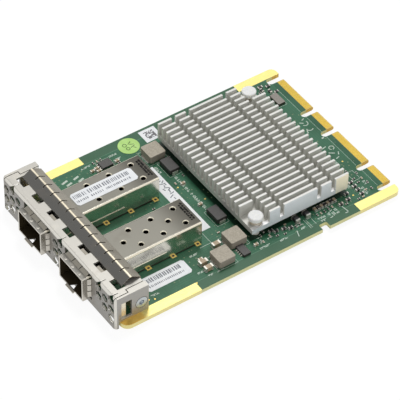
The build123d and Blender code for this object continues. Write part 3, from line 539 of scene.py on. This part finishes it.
def inkFinish(name, values):
    # printed ink, a little thin in places
    ink, faint, shine = values
    material, shader, spot = startFinish(name)
    thin = rise(cloud(spot["where"], 4.0, 3), 0.35, 0.75)
    feed(shader.inputs["Base Color"], tint(thin, ink, faint))
    feed(shader.inputs["Roughness"], rise(thin, 0, 1, 0.48, 0.66))
    feed(shader.inputs["Specular IOR Level"], shine)
    return material


railGold = {"metallic": 0.5, "roughness": 0.36, "pale": (248, 233, 150), "mid": (241, 221, 126),
            "deep": (234, 222, 152), "edge": 0.12, "bracketShadow": (9.4, 7.4, (250, 200, 88))}
contactGold = {"metallic": 0.6, "roughness": 0.34, "pale": (216, 188, 76), "mid": (200, 165, 54),
               "deep": (200, 156, 58), "edge": 0.03}
padGold = {"metallic": 0.5, "roughness": 0.34, "pale": (238, 212, 122), "mid": (214, 180, 84),
           "deep": (170, 128, 50), "edge": 0.04}
bracketSheet = {"metallic": 0.45, "roughness": 0.36, "pale": (194, 191, 183), "mid": (181, 178, 170),
                "grain": 1.6, "brush": (0.3, 3.0, 3.0), "depth": 0.006, "edge": 0.16,
                "worn": (244, 240, 232), "smudgeSize": 0.16, "stain": (182, 175, 164),
                "sides": [("nx", 0.3, 0.45, (240, 238, 230)), ("nx", 0.85, 0.95, (163, 161, 156)),
                          ("ny", -0.3, -0.45, (228, 225, 216)), ("ny", -0.85, -0.95, (146, 143, 137)),
                          ("nz", -0.3, -0.6, (120, 116, 108))]}
stripSheet = {"metallic": 0.8, "pale": (156, 151, 139), "mid": (140, 135, 123), "grain": 1.8,
              "brush": (3.0, 0.4, 0.4), "depth": 0.006, "edge": 0.1, "wear": 0.6,
              "worn": (226, 219, 204), "smudgeSize": 0.2, "smudge": 0.35, "stain": (112, 106, 97),
              "sides": [("ny", -0.25, -0.4, (96, 95, 92)), ("nz", 0.94, 0.99, (150, 143, 128)),
                        ("nz", -0.15, -0.3, (58, 50, 38)), ("nx", 0.6, 0.8, (84, 70, 48))],
              "crown": (7.12, 7.58, (225, 215, 191))}
cageSheet = {"metallic": 1.0, "pale": (234, 229, 217), "mid": (222, 217, 206), "grain": 1.0,
             "brush": (2.0, 0.6, 2.0), "depth": 0.0003, "edge": 0.1,
             "worn": (244, 238, 222), "smudgeSize": 0.17, "smudge": 0.32, "stain": (104, 99, 90),
             "sides": [("nz", 0.12, 0.3, (248, 240, 220)), ("nz", 0.82, 0.9, (136, 131, 122))],
             "topShadeFade": ((120, 118, 110), (80, 78, 72), 30, 42.5), "rimHighlight": (9.12, (250, 242, 222)),
             "glossSides": [("nz", 0.1, 0.2, 0.5), ("nz", 0.9, 0.95, 0.3), ("nx", 0.9, 0.97, 0.2),
                            ("nx", -0.9, -0.97, 0.2)], "glossSpread": 0.06,
             "inside": (12.8, 6.75, 9.45, -4.95, (58, 50, 36))}
collarSheet = {"metallic": 0.85, "roughness": 0.26, "pale": (206, 201, 191), "mid": (186, 181, 171),
               "worn": (240, 236, 226), "smudge": 0.4, "stain": (120, 114, 104),
               "sides": [("nz", 0.7, 0.88, (136, 132, 122))],
               "topShadeFade": ((132, 130, 124), (66, 63, 56), -4.6, -2.4)}
springSheet = {"metallic": 0.6, "pale": (240, 234, 214), "mid": (228, 221, 200), "brush": (2.0, 2.0, 0.5),
               "worn": (250, 246, 236), "stain": (170, 160, 136)}
screwMetal = {"metallic": 0.85, "roughness": 0.28, "pale": (196, 202, 206), "mid": (170, 177, 183),
              "grain": 3.0, "brush": (1.0, 1.0, 1.0), "depth": 0.006, "edge": 0.12, "wear": 0.6,
              "worn": (226, 230, 234), "smudgeSize": 0.4, "stain": (104, 108, 114)}
tabSheet = {"metallic": 0.7, "roughness": 0.34, "pale": (146, 141, 130), "mid": (128, 123, 113),
            "brush": (2.0, 0.5, 1.0), "wear": 0.4, "worn": (214, 208, 194), "smudgeSize": 0.4,
            "stain": (120, 114, 104)}
blockBrass = {"metallic": 0.8, "roughness": 0.34, "pale": (212, 196, 150), "mid": (194, 176, 128),
              "grain": 2.4, "brush": (0.5, 3.0, 1.0), "depth": 0.006, "edge": 0.1, "wear": 0.4,
              "worn": (236, 222, 182), "stain": (140, 122, 82)}
sinkMetal = {"metallic": 0.3, "roughness": 0.42, "edge": 0.1, "depth": 0.012,
             "wall": (228, 228, 223), "wallDeep": (211, 211, 205),
             "gap": (196, 195, 188), "shade": 0.5, "topLevel": 9.6, "floorLevel": 4.6, "side": 28.6,
             # painted light on the outer faces, and a painted reflection on their rear part
             "outer": (240, 243, 247), "outerLitDeep": (228, 232, 238), "rear": (255, 248, 230), "rearReflectionStart": 93.5,
             # foot and footStart: a painted highlight on the channel floors by the outer fins
             "top": (218, 218, 214), "topDeep": (200, 200, 195), "foot": (246, 246, 246), "footStart": 27.3}

dress(boardFinish, [("boardMask", boardLook, "circuit_board")])
dress(goldFinish, [
    ("railGold", railGold, "left_front_rail_pad left_rear_rail_pad right_front_rail_pad right_rear_rail_pad"),
    ("contactGold", contactGold, "edge_contacts_top edge_contacts_underside left_host_contacts right_host_contacts"),
    ("padGold", padGold, "cage_pin_pads")])
dress(sheetFinish, [
    ("bracketSteel", bracketSheet, "front_bracket"), ("stripSteel", stripSheet, "top_finger_strip"),
    ("cageSteel", cageSheet, "left_port_cage right_port_cage"),
    ("collarSteel", collarSheet, "left_port_collar right_port_collar"),
    ("springSteel", springSheet, "left_side_spring right_side_spring"), ("tabSteel", tabSheet, ""),
    ("screwSteel", screwMetal, "left_bracket_screw right_bracket_screw"),
    ("blockBrass", blockBrass, "left_fixing_block right_fixing_block")])
dress(sinkFinish, [("sinkAluminium", sinkMetal, "heat_sink")])
print("metal dressed")

dress(mouldedFinish, [
    ("socketPlastic", {"pale": (46, 45, 45), "deep": (34, 33, 33), "grain": 5.0, "roughness": 0.5, "edge": 0.12,
                       "depth": 0.01, "worn": (84, 83, 82)}, "left_host_connector right_host_connector"),
    ("chipPlastic", {"pale": (78, 76, 73), "deep": (62, 60, 58), "grain": 4.5, "roughness": 0.5, "edge": 0.1,
                     "depth": 0.012, "side": (44, 41, 39), "worn": (116, 110, 104)}, "regulator_chip flash_chip"),
    ("blockPlastic", {"pale": (66, 64, 62), "deep": (54, 52, 50), "roughness": 0.45, "edge": 0.16, "depth": 0.012,
                      "side": (40, 36, 34), "worn": (110, 102, 96)}, "left_block_capacitor right_block_capacitor"),
    ("clockCanMetal", {"pale": (140, 135, 128), "deep": (120, 116, 110), "grain": 3.0, "metallic": 0.6,
                       "roughness": 0.36, "edge": 0.14, "side": (92, 84, 76), "worn": (196, 188, 176)},
     "clock_chip"),
    ("inductorGrain", {"pale": (182, 174, 157), "deep": (163, 155, 139), "grain": 2.6, "driftSize": 0.4,
                       "roughness": 0.55, "edge": 0.18, "depth": 0.03, "side": (150, 141, 129),
                       "worn": (214, 206, 190)}, "left_power_inductor middle_power_inductor right_power_inductor"),
    ("pinNylon", {"pale": (244, 244, 242), "deep": (234, 235, 234), "grain": 2.0, "glow": 0.3, "roughness": 0.4,
                  "edge": 0.2, "worn": (250, 250, 248)}, "left_push_pin right_push_pin"),
    ("capacitorCeramic", {"pale": (192, 172, 143), "deep": (168, 149, 122), "roughness": 0.42, "edge": 0.06},
     "chip_capacitors underside_chip_capacitors"),
    ("resistorCeramic", {"pale": (52, 50, 50), "deep": (38, 36, 37), "roughness": 0.4, "edge": 0.05},
     "chip_resistors"),
    ("packageLaminate", {"pale": (40, 84, 60), "deep": (32, 70, 50), "grain": 3.0, "roughness": 0.45, "edge": 0.08,
                         "depth": 0.008}, "controller_package"),
    ("thermalCompound", {"pale": (198, 198, 194), "deep": (178, 178, 174), "grain": 1.2, "roughness": 0.7,
                         "edge": 0.04, "depth": 0.02}, "thermal_pad")])
dress(wireFinish, [
    ("tinnedEnds", {"pale": (226, 223, 214), "deep": (188, 184, 174), "grain": 2.4, "metallic": 0.7,
                    "roughness": 0.3, "edge": 0.06},
     "inductor_terminals block_capacitor_terminals chip_legs chip_ends underside_chip_ends"),
    ("solderSkin", {"pale": (206, 208, 206), "deep": (160, 163, 162), "grain": 1.8, "metallic": 0.75,
                    "roughness": 0.3, "edge": 0.08}, ""),
    ("springWire", {"pale": (216, 208, 192), "deep": (176, 166, 148), "grain": 1.5, "metallic": 0.7,
                    "roughness": 0.34, "edge": 0.08}, "left_push_pin_spring right_push_pin_spring"),
    ("lidMetal", {"pale": (186, 186, 182), "deep": (166, 166, 162), "grain": 0.8, "metallic": 0.6,
                  "roughness": 0.42, "edge": 0.12}, "controller_lid")])
dress(paperFinish, [
    ("labelPaper", {"pale": (246, 248, 250), "deep": (238, 241, 244)}, "cage_label side_label code_label"),
    ("boardLabelPaper", {"pale": (250, 251, 252), "deep": (243, 245, 247)}, "board_label"),
    ("limePaper", {"pale": (190, 230, 138), "deep": (178, 221, 122)}, "round_sticker")])

inks = {    # the ink, its tone where it is thin, and its shine
    "silkInk": ((214, 224, 213), (158, 181, 164), 0.5), "greyInk": ((108, 112, 119), (158, 162, 169), 0.5),
    "darkInk": ((92, 91, 94), (142, 141, 144), 0.5), "oliveInk": ((70, 96, 44), (110, 146, 72), 0.5),
    "etchedMark": ((8, 7, 6), (24, 21, 18), 0.1), "footShade": ((30, 27, 18), (52, 45, 30), 0.5),
    "pressedMark": ((160, 151, 134), (174, 165, 148), 0.5), "laserMark": ((112, 107, 102), (92, 88, 83), 0.5),
}
dress(inkFinish, [(name, values, "") for name, values in inks.items()])
print("plastics, ends, labels and inks dressed")

silk = {
    "height": 0.02, "line": 0.12,
    # outlines round parts, as (middle x, middle y, width, length)
    "outlines": [(-24.3, 53.3, 7.6, 8.0), (25.5, 52.8, 7.6, 8.0), (30.6, 44.4, 7.4, 7.9), (12.7, 54.6, 8.2, 4.9),
                 (-16.0, 54.6, 8.2, 4.9), (-29.7, 36.9, 5.6, 5.4), (22.9, 105.6, 4.6, 2.6),
                 (-22.9, 106.2, 6.6, 3.8)],
    # plain bars, as (x, y, across, along, turn)
    "bars": [(-30.3, 20.3, 0.8, 2.6, 14), (-28.6, 21.2, 0.8, 2.4, 14), (-30.0, 24.8, 0.8, 2.4, 14),
             (-28.2, 25.8, 0.8, 2.4, 14), (19.2, 45.9, 5.2, 0.16, 0), (21.8, 43.6, 0.16, 4.6, 0),
             (-20.4, 109.6, 13.7, 0.09, 0), (-5.8, 109.7, 11.4, 0.09, 0), (10.6, 109.6, 17.2, 0.09, 0),
             (26.6, 109.8, 9.4, 0.09, 0), (-8.6, 106.4, 0.36, 1.5, -40), (-3.8, 105.6, 0.36, 1.6, 70),
             (-9.9, 107.9, 0.34, 1.2, 20), (6.0, 105.4, 0.36, 2.0, 10), (9.6, 106.2, 0.36, 2.2, -35),
             (10.9, 108.2, 0.34, 1.5, 60), (12.6, 106.6, 0.34, 1.6, 15), (1.7, 108.2, 0.6, 0.9, 0),
             (33.0, 78.3, 4.6, 0.15, 0), (33.1, 79.0, 4.4, 0.15, 0), (33.0, 81.0, 3.0, 0.15, 0),
             (34.8, 73.0, 2.8, 0.3, -20), (34.2, 93.5, 3.2, 0.3, 8), (36.0, 93.0, 0.3, 1.2, 0)],
    # arcs of short bars, as (x, y, radius, start, end)
    "arcs": [(-7.9, 107.3, 1.15, -60, 110), (-5.0, 107.3, 1.2, -100, 40), (7.4, 107.7, 0.9, 0, 330)],
    # rows of strokes that spell nothing, as (x, y, along the card or not, count)
    "rows": [(-12.2, 53.8, 0, 5), (-6.0, 53.8, 0, 4), (-1.0, 53.8, 0, 10), (-19.0, 50.6, 0, 4),
             (23.3, 36.6, 1, 3), (31.2, 34.4, 1, 4), (34.0, 36.8, 1, 2), (-32.5, 29.0, 1, 4),
             (-30.0, 41.0, 1, 3), (-32.4, 40.6, 1, 3), (31.8, 74.6, 1, 3), (33.6, 75.6, 1, 2),
             (33.2, 83.2, 1, 3), (34.6, 83.6, 1, 2), (32.7, 87.3, 0, 3), (32.4, 88.9, 0, 3), (32.2, 90.5, 0, 3),
             (33.5, 58.6, 1, 4), (34.0, 40.4, 1, 3), (29.2, 60.4, 0, 3), (20.4, 98.6, 0, 4), (24.6, 101.0, 0, 3),
             (29.4, 104.6, 0, 4), (27.2, 107.0, 0, 2), (13.4, 104.4, 0, 4), (-17.2, 103.4, 0, 5),
             (31.0, 15.6, 1, 3), (-26.6, 107.6, 0, 2), (34.2, 66.4, 1, 3), (31.2, 63.4, 1, 2)],
    "arcStep": 30, "arcLine": 0.3, "arcShare": 0.56, "seed": 11,
    # a stroke's cell, its bars' thickness, the step to the next, and how much its bars differ in height
    "strokeWide": 0.74, "strokeLong": 1.15, "strokeLine": 0.25, "strokeStep": 1.0, "strokeLift": 0.1,
}


def addStroke(shape, x, y, values, dice):
    # two or three plain bars in a small cell
    long, line, height, lift = (values[key] for key in ("strokeLong", "strokeLine", "height", "strokeLift"))
    wide = values["strokeWide"] - line
    side = dice.choice((-1, 1))
    addBlock(shape, x + side * wide / 2, y, 0, line, long, height)
    addBlock(shape, x, y + dice.uniform(-0.4, 0.4) * long, 0, wide, line, height * (1 + lift))
    if dice.random() < 0.5:
        addBlock(shape, x - side * wide / 2, y + long / 4 * side, 0, line, long / 2, height * (1 - lift))


def printSilk(values):
    shape = bmesh.new()
    height, line = values["height"], values["line"]
    for x, y, width, length in values["outlines"]:
        for side in (-1, 1):
            addBlock(shape, x + side * width / 2, y, 0, line, length, height)
            addBlock(shape, x, y + side * length / 2, 0, width, line, height)
    addMarks(shape, values["bars"], height)
    for x, y, radius, start, end in values["arcs"]:
        half = values["arcStep"] // 2
        for turn in range(start + half, end + half, values["arcStep"]):
            angle = math.radians(turn)
            addBlock(shape, x + radius * math.cos(angle), y + radius * math.sin(angle), 0, values["arcLine"],
                     radius * values["arcShare"], height, turn)
    dice = random.Random(values["seed"])
    for x, y, along, count in values["rows"]:
        for index in range(count):
            step = index * values["strokeStep"]
            addStroke(shape, x + step * (1 - along), y + step * along, values, dice)
    finishPiece("silkMarks", shape, "silkInk")


labelPrint = {
    "height": 0.015, "cageLevel": 9.75, "boardLevel": 0.1, "seed": 7,
    "codeCells": 9, "codeCell": 0.42, "codeFill": 0.96, "codeEdge": 0.75, "codeInner": 0.5,
    # rows of bars, as (x, start, end, reach, thinnest, thickest, gap)
    "cageBars": [(-14.0, 13.6, 18.6, 1.9, 0.18, 0.6, 0.34), (-11.6, 13.6, 18.0, 1.0, 0.2, 0.5, 0.36),
                 (-14.0, 19.4, 24.6, 1.9, 0.18, 0.6, 0.34), (-11.6, 19.4, 24.0, 1.0, 0.2, 0.5, 0.36),
                 (-14.0, 25.4, 35.8, 1.9, 0.18, 0.6, 0.34), (-11.6, 25.4, 35.2, 1.0, 0.2, 0.5, 0.36)],
    "sideBars": [(2.0, 16.8, 30.6, 2.0, 0.2, 0.6, 0.3), (4.6, 16.8, 31.0, 0.9, 0.2, 0.45, 0.3)],
    # plain bars, as (x, y, across, along, turn)
    "boardMarks": [(-17.6, 47.2, 0.4, 2.2, 20), (-16.4, 47.8, 1.4, 0.35, 0), (-15.2, 47.0, 0.35, 2.0, -30),
                   (-13.6, 47.6, 1.2, 0.35, 25), (-12.2, 47.2, 0.35, 2.4, 10), (-10.8, 47.6, 0.35, 1.8, -20),
                   (-9.4, 48.0, 1.0, 0.4, -10), (-11.6, 48.6, 0.4, 1.4, 40), (-10.2, 48.8, 1.3, 0.4, 5),
                   (-8.4, 48.2, 0.4, 1.9, -25), (-7.4, 48.6, 0.4, 1.5, 30), (-6.4, 48.2, 1.3, 0.4, -15),
                   (-5.3, 48.4, 0.4, 1.7, 10), (-8.0, 46.9, 1.2, 0.4, 20), (-4.0, 47.4, 0.35, 1.8, 25),
                   (-2.6, 47.8, 1.1, 0.35, 10), (-1.4, 47.2, 0.35, 2.0, -15)],
    # rings, as (x, y, inner radius, outer radius), and bars from the sticker's middle
    "ringSteps": 14, "stickerRings": [(-0.9, -1.2, 0.55, 0.85), (1.1, -0.9, 0.5, 0.8)],
    "stickerMarks": [(-1.2, 0.9, 0.3, 1.8, 30), (-0.2, 1.3, 0.3, 1.6, -25), (0.9, 1.1, 0.3, 1.9, 15),
                     (1.7, 1.5, 1.1, 0.3, 40)],
}


def printBars(name, rows, left, level, height, dice):
    # bars of uneven thickness across rows that run along the card
    shape = bmesh.new()
    for x, y, end, reach, thinnest, thickest, gap in rows:
        while y < end:
            width = dice.uniform(thinnest, thickest)
            addBlock(shape, left + x, y + width / 2, level, reach * dice.uniform(0.9, 1.0), width, height)
            y += width + dice.uniform(gap * 0.5, gap * 1.6)
    finishPiece(name, shape, "greyInk")


def printCode(values, dice):
    # a square field of filled and empty cells
    shape = bmesh.new()
    middle = cardBox("code_label")[2]
    cell, last = values["codeCell"], values["codeCells"] - 1
    fill = cell * values["codeFill"]
    for row in range(last + 1):
        for column in range(last + 1):
            edge = row in (0, last) or column in (0, last)
            if dice.random() < values["codeEdge" if edge else "codeInner"]:
                addBlock(shape, middle.x + (column - last / 2) * cell, middle.y + (row - last / 2) * cell,
                         values["boardLevel"], fill, fill, values["height"])
    finishPiece("codeLabelPrint", shape, "darkInk")


def printLabels(values):
    dice = random.Random(values["seed"])
    height, low = values["height"], values["boardLevel"]
    printBars("cageLabelPrint", values["cageBars"], 0, values["cageLevel"], height, dice)
    printBars("sideLabelPrint", values["sideBars"], cardBox("side_label")[0].x, low, height, dice)
    printCode(values, dice)
    shape = bmesh.new()
    addMarks(shape, values["boardMarks"], height, z=low)
    finishPiece("boardLabelPrint", shape, "greyInk")
    shape = bmesh.new()
    middle = cardBox("round_sticker")[2]
    for x, y, inner, outer in values["stickerRings"]:
        ring = [(inner, 0), (outer, 0), (outer, height), (inner, height)]
        addRing(shape, middle.x + x, middle.y + y, low, ring, values["ringSteps"])
    addMarks(shape, values["stickerMarks"], height, middle.x, middle.y, low)
    finishPiece("stickerPrint", shape, "oliveInk")


printSilk(silk)
printLabels(labelPrint)
print("print laid on")

etching = {"level": 9.65, "height": 0.03, "rear": 42.5, "rows": [(-0.2, 9.6), (-1.15, 8.6)], "bar": 0.72,
           "inset": 0.4, "widths": (0.4, 1.1), "gaps": (0.05, 0.3), "turn": 25, "seed": 3}


def etchCages(values):
    # a plain dark field of short bars near each cage's rear edge
    dice = random.Random(values["seed"])
    shape = bmesh.new()
    for word in ("left", "right"):
        middle = cardBox(word + "_port_cage")[2].x
        for step, reach in values["rows"]:
            x = middle - reach / 2 + values["inset"]
            while x < middle + reach / 2:
                width = dice.uniform(*values["widths"])
                addBlock(shape, x, values["rear"] + step, values["level"], width, values["bar"], values["height"],
                         dice.uniform(-values["turn"], values["turn"]))
                x += width + dice.uniform(*values["gaps"])
    finishPiece("cageEtching", shape, "etchedMark")


holeRims = {"profile": [(0.88, -0.3), (1.12, -0.32), (1.135, 0.002), (1.115, 0.002)],
            "steps": 20, "column": 3.9, "rows": 3, "pitch": 9.05, "last": 38.8, "level": 9.65}


def rimHoles(values):
    # the drawn-in lip that the punch leaves in each hole of the cages' tops
    shape = bmesh.new()
    for word, columns in (("left", (-1, 1)), ("right", (-1, 0, 1))):     # the left middle ones lie under the label
        middle = cardBox(word + "_port_cage")[2].x
        for column in columns:
            last = values["last"] - (values["pitch"] / 2 if column == 0 else 0)
            for row in range(values["rows"]):
                addRing(shape, middle + column * values["column"], last - row * values["pitch"],
                        values["level"], values["profile"], values["steps"])
    finishPiece("holeRims", shape, "springSteel")


cageSeams = {"front": -1.0, "rear": 29.0, "level": 3.35, "thick": 0.16, "height": 0.42, "slope": 0.34}


def addSeams(values):
    # the edge of the overlapped sheet along each cage's side walls, its outer top corners drawn down
    shape = bmesh.new()
    for wall, side in cageWalls():
        made = addBlock(shape, wall + side * values["thick"] / 2, (values["front"] + values["rear"]) / 2,
                        values["level"], values["thick"], values["rear"] - values["front"], values["height"])
        outer = sorted(made, key=lambda corner: side * corner.co.x)[-4:]
        for corner in sorted(outer, key=lambda corner: corner.co.z)[-2:]:
            corner.co.z -= values["slope"] * mm
    finishPiece("cageSeams", shape, "springSteel")


cageFootShadows = {"start": 2.0, "end": 43.2, "level": 0.02, "thick": 0.05, "height": 0.52, "shortest": 0.2,
            "padOut": 0.6}


def addFootShadows(values):
    # a painted shadow: a dark strip in the gap under the foot of each cage wall, broken at the pin pads
    shape = bmesh.new()
    pads = islandBoxes("cage_pin_pads")
    for wall, side in cageWalls():
        here = sorted(box[2:4] for box in pads if box[0] < wall + side * values["padOut"] < box[1])
        starts = [values["start"]] + [rear for front, rear in here]
        ends = [front for front, rear in here] + [values["end"]]
        for start, end in zip(starts, ends):
            if end - start > values["shortest"]:
                addBlock(shape, wall + side * values["thick"] / 2, (start + end) / 2, values["level"],
                         values["thick"], end - start, values["height"])
    finishPiece("cageFootShadows", shape, "footShade")


windowTabs = {"holes": 7, "used": (2, 4, 5), "pitch": 9.6, "left": -1.0, "right": 2.35, "front": 1.6, "rear": 2.9,
              "top": 10.95, "thick": 0.25}


def addWindowTabs(values):
    # the small tab that shows inside a square hole of the bracket's top
    shape = bmesh.new()
    for index in values["used"]:
        x = (index - (values["holes"] - 1) / 2) * values["pitch"] + (values["left"] + values["right"]) / 2
        addBlock(shape, x, (values["front"] + values["rear"]) / 2, values["top"] - values["thick"],
                 values["right"] - values["left"], values["rear"] - values["front"], values["thick"])
    finishPiece("windowTabs", shape, "tabSteel")


screwShade = {"profile": [(2.26, 0.0), (2.46, 0.0), (2.44, 0.03), (2.28, 0.03)], "steps": 28}


def shadeScrews(values):
    # the dark gap round each screw's head
    shape = bmesh.new()
    for word, side in (("left", -1), ("right", 1)):
        lowest, highest, middle = cardBox(word + "_bracket_screw")
        addRing(shape, (highest if side > 0 else lowest).x, middle.y, middle.z, values["profile"], values["steps"],
                (side, 0, 0))
    finishPiece("screwShade", shape, "socketPlastic")


padRims = {"cageMiddle": 12.8, "mask": 0.22, "height": 0.1, "shadeWide": 0.42, "shadeLong": 0.8,
           "shadeHeight": 0.095}


def rimPads(values):
    # solder mask that laps over each pin pad's border, and a painted shade at each pad's inner end, where the pin
    # goes in beside the cage wall
    masks, spots = bmesh.new(), bmesh.new()
    mask = values["mask"]
    for x0, x1, y0, y1, z in islandBoxes("cage_pin_pads"):
        inner, outer = sorted((x0, x1), key=lambda x: abs(abs(x) - values["cageMiddle"]))
        side, middle = 1 if outer > inner else -1, (y0 + y1) / 2
        for edge in (y0 + mask / 2, y1 - mask / 2):
            addBlock(masks, (x0 + x1) / 2, edge, 0, x1 - x0, mask, values["height"])
        addBlock(masks, outer - side * mask / 2, middle, 0, mask, y1 - y0 - 2 * mask, values["height"])
        addBlock(spots, inner + side * values["shadeWide"] / 2, middle, 0, values["shadeWide"], values["shadeLong"],
                 values["shadeHeight"])
    finishPiece("padMask", masks, "boardMask")
    finishPiece("padShadeSpots", spots, "socketPlastic")


testPads = {"height": 0.03, "radius": 0.32, "steps": 16,
            "places": [(31.9, 13.6), (32.7, 15.5), (34.5, 31.2), (15.1, 106.8), (33.2, 45.6), (-33.4, 63.2),
                       (20.6, 54.8), (3.4, 56.2), (-6.4, 51.6), (30.6, 99.8)]}


def addTestPads(values):
    shape = bmesh.new()
    for x, y in values["places"]:
        addDisc(shape, x, y, 0, values["radius"], values["height"], values["steps"])
    finishPiece("testPads", shape, "padGold")


solderPads = {"height": 0.05, "spread": 0.22, "lowest": -0.5, "roundShare": 0.7}


def addSolderPads(values):
    # a wet-looking foot of solder round each metal end that stands on the board
    shape = bmesh.new()
    for name in ("chip_ends", "inductor_terminals"):
        for x0, x1, y0, y1, z in islandBoxes(name):
            if z > values["lowest"]:
                addBlock(shape, (x0 + x1) / 2, (y0 + y1) / 2, 0, x1 - x0 + values["spread"],
                         y1 - y0 + values["spread"], values["height"])
    level = (cardShift.z + values["height"] / 2) * mm
    roundEdges(shape, [edge for edge in shape.edges if all(corner.co.z > level for corner in edge.verts)],
               values["height"] * values["roundShare"])
    finishPiece("solderFeet", shape, "solderSkin")


tinyParts = {
    "size": (0.55, 1.05, 0.42), "end": 0.24, "proud": 0.02, "round": 0.04, "largeEnd": 0.2,
    # places as (x, y), by (turned across the card, light body)
    "places": {
        (0, 0): [(24.4, 104.6), (26.6, 105.0), (33.2, 100.2), (32.9, 95.2), (31.9, 66.4), (32.6, 69.2),
                 (-27.9, 41.4), (-26.4, 33.2), (-20.4, 57.2), (-1.0, 29.0), (-2.2, 38.6), (-29.4, 103.2),
                 (-26.2, 103.4)],
        (0, 1): [(30.9, 105.0), (33.2, 102.2), (29.0, 71.6), (19.4, 50.6), (-26.5, 41.4), (-27.8, 103.4)],
        (1, 0): [(22.6, 107.2), (28.3, 107.7), (31.4, 107.2), (20.2, 104.6), (26.6, 99.2), (31.6, 83.6),
                 (31.6, 86.8), (31.2, 88.6), (31.9, 76.0), (31.9, 74.4), (27.6, 63.4), (28.7, 61.6), (20.6, 56.6),
                 (-32.6, 33.6), (-32.6, 36.8), (-10.2, 56.4)],
        (1, 1): [(25.6, 107.2), (31.6, 85.2), (31.2, 90.2), (30.4, 64.2), (31.6, 60.8), (-32.6, 35.2), (-8.2, 51.8),
                 (1.2, 34.0)],
    },
    # larger ones with their own size, as (x, y, width, length, height)
    "larger": [(-31.8, 104.9, 1.1, 1.9, 0.6), (-30.8, 107.6, 1.0, 1.8, 0.6), (-26.9, 108.6, 0.9, 1.6, 0.5)],
}


def addTinyParts(values):
    width, length, height = values["size"]
    end, proud = values["end"], values["proud"]
    dark, light, ends = bmesh.new(), bmesh.new(), bmesh.new()
    for (turned, pale), places in values["places"].items():
        body, cap, reach = (width, length - 2 * end), (width + 2 * proud, end), (0, (length - end) / 2)
        if turned:
            body, cap, reach = body[::-1], cap[::-1], reach[::-1]
        for x, y in places:
            addBlock(light if pale else dark, x, y, 0, *body, height)
            for side in (-1, 1):
                addBlock(ends, x + side * reach[0], y + side * reach[1], 0, *cap, height + proud)
    for x, y, across, along, tall in values["larger"]:
        cap = along * values["largeEnd"]
        addBlock(dark, x, y, 0, across, along - 2 * cap, tall)
        for side in (-1, 1):
            addBlock(ends, x, y + side * (along - cap) / 2, 0, across + 2 * proud, cap, tall + proud)
    for shape in (dark, light, ends):
        roundEdges(shape, list(shape.edges), values["round"])
    finishPiece("tinyResistors", dark, "resistorCeramic")
    finishPiece("tinyCapacitors", light, "capacitorCeramic")
    finishPiece("tinyEnds", ends, "tinnedEnds")


partMarks = {"height": 0.015, "steps": 12, "bars": [(0, -0.9, 2.4, 0.28, 18), (0, 0.3, 3.0, 0.28, 18)],
             "dot": (2.1, -2.1, 0.3), "chipDot": (0.6, 0.6, 0.24)}


def markParts(values):
    # plain bars and dots on the power parts, and a dot on each chip
    shape, (right, back, radius) = bmesh.new(), values["dot"]
    for word in ("left", "middle", "right"):
        lowest, highest, middle = cardBox(word + "_power_inductor")
        addMarks(shape, values["bars"], values["height"], middle.x, middle.y, highest.z)
        addDisc(shape, middle.x + right, middle.y + back, highest.z, radius, values["height"], values["steps"])
    finishPiece("inductorMarks", shape, "pressedMark")
    shape, (right, back, radius) = bmesh.new(), values["chipDot"]
    for name in ("regulator_chip", "flash_chip"):
        lowest, highest, middle = cardBox(name)
        addDisc(shape, lowest.x + right, lowest.y + back, highest.z, radius, values["height"], values["steps"])
    finishPiece("chipMarks", shape, "laserMark")


etchCages(etching)
rimHoles(holeRims)
addSeams(cageSeams)
addFootShadows(cageFootShadows)
addWindowTabs(windowTabs)
shadeScrews(screwShade)
rimPads(padRims)
addTestPads(testPads)
addSolderPads(solderPads)
addTinyParts(tinyParts)
markParts(partMarks)
print("small pieces added")
